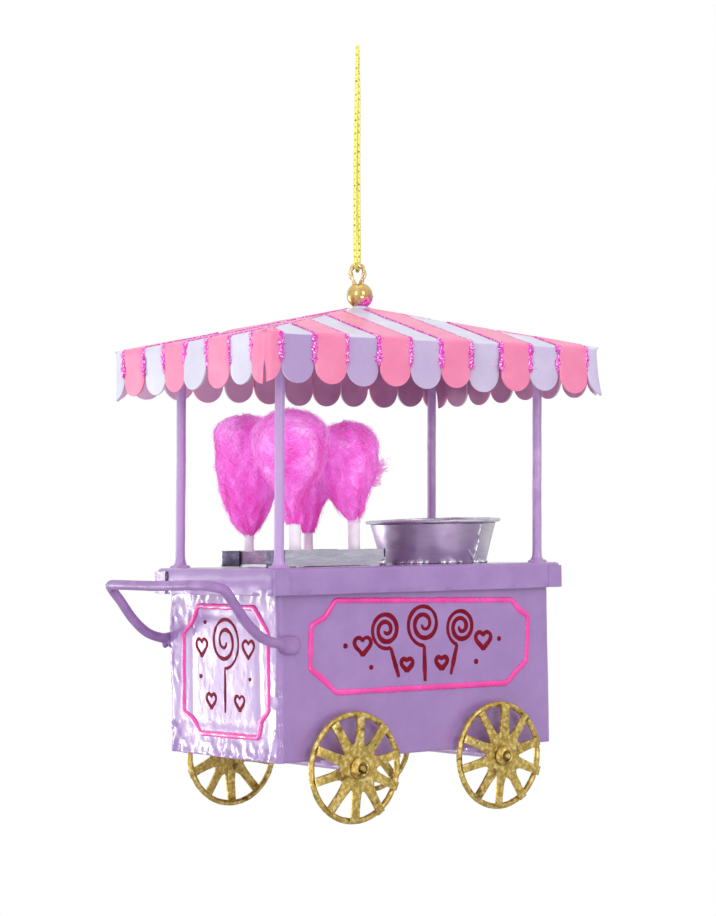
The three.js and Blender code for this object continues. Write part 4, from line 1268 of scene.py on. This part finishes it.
def bowl_lift(p):
    """The rim rides up a little at the back right."""
    share = (1 + np.cos(np.arctan2(p[..., 1], p[..., 0] - BOWL_X) - BOWL_RISE_ANGLE)) / 2
    p[..., 2] += BOWL_RISE * (p[..., 2] - COUNTER_TOP) / (BOWL_RIM_Z - COUNTER_TOP) * share ** 2
    return p


# How light the bowl's wall is, round from its right hand side, in degrees: painted reflection and shade.
BOWL_PAINTED_LIGHT = np.array([(0, 0.75), (60, 0.55), (110, 0.4), (150, 0.45), (168, 0.55), (184, 0.66), (194, 0.68), (204, 0.62),
                  (216, 0.58), (228, 0.5), (246, 0.42), (258, 0.44), (270, 0.48), (279, 0.7), (286, 0.98), (305, 0.98),
                  (330, 0.6), (360, 0.75)])


def make_bowl():
    cols, rows = 96, 16
    a = around(cols)
    k = np.linspace(0, 1, rows)
    bottom, top = COUNTER_TOP + 0.1, BOWL_RIM_Z - 0.75
    r = (BOWL_R + BOWL_FLARE * k)[:, None]
    z = np.repeat((bottom + (top - bottom) * k)[:, None], cols, 1)
    g = np.stack([BOWL_X + r * np.cos(a), r * np.sin(a), z], -1)
    out = np.stack([np.cos(a), np.sin(a), a * 0], -1)[None]
    g = g + out * (0.12 * bumps(g * [1, 1, 0.5], 3.5, 3) + 0.03 * bumps(g, 1.0, 5))[..., None]
    wall = sheet(bowl_lift(g), BOWL_TIN, wrap=True)[:2]
    # Painted reflection and shade round the wall, a little lighter low down.
    round_wall = np.interp(np.degrees(a), BOWL_PAINTED_LIGHT[:, 0], BOWL_PAINTED_LIGHT[:, 1])
    lean_in = np.linspace(0.06, -0.04, rows)[:, None]
    tone = np.clip(round_wall[None] + lean_in + 0.1 * bumps(g, 4.0, 8), 0, 1)
    add("bowl_strip", wall, TIN_BOWL, replaces=["bowl_wall"], sharp=40,
        tones=np.tile(tone.ravel(), 2))
    q = np.linspace(0, 1, 26)
    r = BOWL_R + BOWL_FLARE * q + 0.02
    seam = np.c_[BOWL_X + r * math.cos(SEAM_ANGLE), r * math.sin(SEAM_ANGLE), bottom + (top - bottom) * q]
    outward = (math.cos(SEAM_ANGLE), math.sin(SEAM_ANGLE), -0.28)
    seam[:, 0] += 0.25 * bumps(seam, 1.6, 21)
    lumps = [bead_line(seam, outward, 0.26 + 0.2 * bumps(seam, 0.9, 4), 0.2 + 0.1 * bumps(seam, 1.0, 6))]
    q = np.linspace(0, 1, 16)
    r, angle = 10.5 - 0.35 * q, SPILL_ANGLE + 0.16 * q
    spill = np.c_[BOWL_X + r * np.cos(angle), r * np.sin(angle), COUNTER_TOP + 2.6 - 2.0 * q]
    outward = (math.cos(SPILL_ANGLE), math.sin(SPILL_ANGLE), -0.28)
    lumps.append(bead_line(spill, outward, 0.3 + 0.15 * bumps(spill, 0.8, 2), 0.2))
    rng = seeded("bowl blobs")
    for deg, size in ((196, 0.5), (208, 0.9), (216, 1.2), (224, 0.7), (242, 0.9), (251, 1.2), (262, 0.5), (284, 1.0),
                      (296, 0.7), (312, 0.5), (20, 0.9), (60, 0.7), (95, 1.1), (140, 0.8)):
        q = math.radians(deg)
        rr = 10.15 + rng.uniform(-0.1, 0.1)
        lumps.append(blob((BOWL_X + rr * math.cos(q), rr * math.sin(q), COUNTER_TOP + 0.25),
                          (0.9 * size, 0.9 * size, 0.62 * size), deg))
    add("bowl_solder", merge(lumps), SOLDER)

    low = BOWL_RIM_Z - 0.6
    profile = [(11.45, low + 0.05), (11.6, low - 0.05), (12.6, low), (12.92, low + 0.12), (13.0, low + 0.3),
               (12.92, low + 0.5), (12.7, low + 0.6), (12.2, low + 0.5), (11.7, low + 0.56), (11.48, low + 0.45)]
    verts, faces = lathe(profile, 120, (BOWL_X, 0), ring=True)
    verts = bowl_lift(verts)
    rad = np.hypot(verts[:, 0] - BOWL_X, verts[:, 1])
    verts[:, 2] += 0.10 * bumps(verts * [1, 1, 0.2], 4.0, 7) + 0.04 * bumps(verts, 1.2, 9)
    ang = np.degrees(np.arctan2(verts[:, 1], verts[:, 0] - BOWL_X)) % 360
    notch = np.exp(-((ang - 352) / 4.0) ** 2) * (rad > 12.3)
    verts[:, 0] -= 0.5 * notch * np.cos(np.radians(ang))
    verts[:, 1] -= 0.5 * notch * np.sin(np.radians(ang))
    add("bowl_flange", (verts, faces), TIN, replaces=["bowl_rim"], sharp=40)

    profile = [(r, COUNTER_TOP + h) for r, h in ((0.4, 0.3), (4, 0.3), (8, 0.3), (9.2, 0.32), (9.2, 0.75), (8, 0.8),
                                                 (4, 0.78), (0.4, 0.8))]
    verts, faces = lathe(profile, 64, (BOWL_X, 0))
    verts[:, 2] += 0.06 * bumps(verts, 3.0, 4)
    add("bowl_base", (verts, faces), TIN_PAINTED_MAUVE_SHADE, replaces=["bowl_floor"])


make_bowl()


# ---------------------------------------------------------------- wheels and axles
SPOKES = 10
WEB_R, STAR_BORE = 4.7, 0.98


def star_outline(turn, rng):
    """Ten flat spokes that flare into a round web, as radius and angle pairs round the star."""
    out = []
    for k in range(SPOKES):
        mid = turn + k * 2 * math.pi / SPOKES + rng.normal(0, 0.02)
        half = 0.8 + rng.normal(0, 0.06)
        tip = 9.45 + rng.normal(0, 0.07)
        valley = 4.0 + rng.normal(0, 0.12)
        run = np.linspace(WEB_R, tip, 9)
        edge = [math.asin((half + 0.16 * math.exp(-(r - WEB_R) / 0.9)) / r) for r in run]
        out += [(r, mid - q) for r, q in zip(run, edge)]
        out += [(r, mid + q) for r, q in zip(run, edge)][::-1]
        gap = mid + math.pi / SPOKES
        out += [(valley + 0.25, gap - 0.07), (valley, gap), (valley + 0.25, gap + 0.07)]
    return np.array(out)


def make_wheel(name, sx, sy):
    rng = seeded("wheel " + name)
    turn = math.radians(90 - 4 * (1 if sy < 0 else -1) + rng.normal(0, 1.5))
    body = f"wheel_{name}"

    def place(u, v, w):
        """Wheel plane to cart: u right, v up, w outwards from the ring's plane."""
        return np.stack([sx * WHEEL_X + u, sy * (RING_Y + w), WHEEL_Z + v], -1)

    a, b = around(120), around(16)
    u = np.cos(a)[:, None] * (RING_R + RING_WIRE * np.cos(b)[None])
    v = np.sin(a)[:, None] * (RING_R + RING_WIRE * np.cos(b)[None])
    w = np.broadcast_to(RING_WIRE * np.sin(b)[None], u.shape)
    g = place(u, v, w)
    centre = place(np.cos(a) * RING_R, np.sin(a) * RING_R, a * 0)[:, None]
    g = centre + (g - centre) * (1 + 0.10 * bumps(g, 1.2, 3) - 0.03)[..., None]
    add(f"ring_{name}", loft(g, ring=True), GILT, body=body, replaces=[f"wheel_ring_{name}"], sharp=60)

    outline = star_outline(turn, rng)
    base_w, top_w = STAR_Y - RING_Y, STAR_Y - RING_Y + STAR_T
    stack = [(0.0, base_w + 0.03), (0.35, base_w), (0.8, base_w), (0.96, base_w), (1.0, base_w + 0.12),
             (1.0, top_w - 0.14), (0.965, top_w), (0.82, top_w + 0.02), (0.6, top_w + 0.03), (0.35, top_w + 0.02),
             (0.12, top_w), (0.0, top_w)]
    loops = []
    for share, w in stack:
        r = STAR_BORE + (outline[:, 0] - STAR_BORE) * share
        p = place(r * np.cos(outline[:, 1]), r * np.sin(outline[:, 1]), np.full(len(r), w))
        p[:, 1] += sy * (0.10 * bumps(p, 2.2, 6) + 0.05 * bumps(p, 0.9, 2)) * (0.4 + 0.6 * min(1, share * 1.5))
        loops.append(p)
    add(f"star_{name}", loft(loops, ring=True), GILT, body=body, replaces=[f"wheel_star_{name}"],
        sharp=45)

    w0 = HUB_Y - RING_Y
    profile = [(STAR_BORE, w0 - 0.1), (1.5, w0 - 0.12), (HUB_R + 0.1, w0 - 0.05), (HUB_R, w0 + 0.25),
               (HUB_R - 0.12, w0 + 0.6), (HUB_R - 0.5, w0 + 0.85), (1.2, w0 + 0.92), (STAR_BORE, w0 + 0.8)]
    loops = []
    q = around(28)
    for r, w in profile:
        p = place(r * np.cos(q), r * np.sin(q), np.full(len(q), w))
        k = 0.14 * bumps(p, 0.9, 8) * (r > 1.1)
        p[:, 0] += k * np.cos(q)
        p[:, 2] += k * np.sin(q)
        p[:, 1] += sy * 0.12 * bumps(p, 0.8, 5) * (r > 1.1)
        loops.append(p)
    add(f"hub_{name}", loft(loops, ring=True), GILT, body=body, replaces=[f"wheel_hub_{name}"],
        sharp=50)


for wheel in CORNERS:
    make_wheel(*wheel)


def make_axle(name, sx):
    half = HUB_Y + HUB_H + 0.13
    y = np.linspace(-half, half, 90)
    sides = 16
    path = np.c_[np.full_like(y, sx * WHEEL_X), y, np.full_like(y, WHEEL_Z)]
    a = around(sides)
    spots = path[:, None] + np.stack([np.cos(a), a * 0, np.sin(a)], -1)[None]
    radius = AXLE_R * (1 + 0.05 * bumps(spots, 0.8, 2 + sx))
    end = np.clip((half - np.abs(y)) / 0.35, 0, 1)
    radius = radius * (0.72 + 0.28 * np.sqrt(end))[:, None]
    rod = tube(path, radius, sides)
    at_end = np.abs(y[:-1]) > HUB_Y - 0.6
    kinds = list(np.repeat(at_end.astype(int), sides)) + [1, 1]
    lumps = [blob((sx * WHEEL_X, sy * 12.5, BODY_BOTTOM - 0.5), (1.7, 2.6, 1.2), 4 + sy + sx, 0.14, 12, 20)
             for sy in (-1, 1)]
    kinds += [0] * sum(len(f) for _, f in lumps)
    add(f"axle_wire_{name}", merge([rod] + lumps), [LILAC_WIRE, GILT],
        replaces=[f"axle_{name}"], kinds=kinds, sharp=50)


make_axle("left", -1)
make_axle("right", 1)


# ---------------------------------------------------------------- stage and light
def make_stage():
    """Pale floor that curves up into walls all round, like a photographer's tent."""
    profile = [(0.0, 0.0), (0.6, 0.0), (1.2, 0.0), (1.6, 0.04), (1.95, 0.16), (2.2, 0.4), (2.34, 0.8), (2.38, 1.4),
               (2.3, 2.2), (2.0, 2.9), (1.5, 3.4), (0.8, 3.7), (0.05, 3.8)]
    floor_z = CAD_BOX[0].z - 0.35
    verts, faces = lathe([(max(r, 0.01), floor_z + z) for r, z in profile], 96)
    mesh = bpy.data.meshes.new("stage")
    mesh.from_pydata(verts.tolist(), [], faces)
    mesh.polygons.foreach_set("use_smooth", np.ones(len(mesh.polygons), bool))
    mesh.flip_normals()
    stage = link("stage", mesh)
    material = bpy.data.materials.new("stage_white")
    material.use_nodes = True
    tree = material.node_tree
    tree.nodes.clear()
    place = node(tree, "ShaderNodeTexCoord").outputs["Object"]
    aim = node(tree, "ShaderNodeVectorMath", {0: place}, operation="NORMALIZE").outputs["Vector"]
    above = Vector((-0.25, 0.10, 0.96)).normalized()
    height = node(tree, "ShaderNodeVectorMath", {0: aim, 1: above}, operation="DOT_PRODUCT").outputs["Value"]
    strength = node(tree, "ShaderNodeMapRange", {
        "Value": height, "From Min": -0.9, "From Max": 0.95, "To Min": 0.56, "To Max": 1.04,
    }, interpolation_type="SMOOTHSTEP").outputs["Result"]
    glow = node(tree, "ShaderNodeEmission", {"Strength": strength}).outputs[0]
    pale = node(tree, "ShaderNodeEmission", {"Color": (1, 1, 1, 1), "Strength": 1.0}).outputs[0]
    seen = node(tree, "ShaderNodeLightPath").outputs["Is Camera Ray"]
    mix = node(tree, "ShaderNodeMixShader", {0: seen, 1: glow, 2: pale}).outputs[0]
    node(tree, "ShaderNodeOutputMaterial", {"Surface": mix})
    mesh.materials.append(material)


make_stage()


MIDDLE = (0.0, 0.0, -0.08)
LEFT_END = (-0.03, 0.0, -0.117)
# name, place, target, width and height, power
LIGHTS = [
    ("key_left", (-0.80, -0.30, 0.20), MIDDLE, (0.34, 0.46), 0.9),
    ("fill_front", (-0.02, -0.88, 0.20), MIDDLE, (0.34, 0.46), 1.5),
    ("fill_low", (-0.20, -0.84, -0.34), (0.0, 0.0, -0.06), (0.40, 0.12), 0.9),
    ("top", (0.0, 0.0, 0.9), MIDDLE, (0.6, 0.6), 0.5),
    ("low_left", (-0.80, -0.16, -0.34), (0.0, 0.02, -0.03), (0.30, 0.14), 0.9),
    ("gleam_far", (-0.48, 0.98, -0.27), LEFT_END, (0.22, 0.30), 2.6),
    ("gleam_near", (-0.84, 0.74, -0.25), LEFT_END, (0.06, 0.34), 0.12),
    ("gleam_wide", (-0.64, 0.88, -0.22), LEFT_END, (0.62, 0.40), 0.9),
    ("gleam_low", (-0.66, 0.88, -0.62), LEFT_END, (0.40, 0.10), 0.6),
]
for name, where, target, size, watts in LIGHTS:
    data = bpy.data.lights.new(name, "AREA")
    data.shape = "RECTANGLE"
    data.size, data.size_y = size
    data.energy = watts
    light = link(name, data)
    light.location = where
    light.rotation_euler = (Vector(target) - Vector(where)).to_track_quat("-Z", "Y").to_euler()

world = bpy.data.worlds.new("world")
world.use_nodes = True
world.node_tree.nodes["Background"].inputs[0].default_value = (1, 1, 1, 1)
world.node_tree.nodes["Background"].inputs[1].default_value = 0.8
scene = bpy.context.scene
scene.world = world
scene.view_settings.view_transform = "Standard"
scene.view_settings.look = "None"
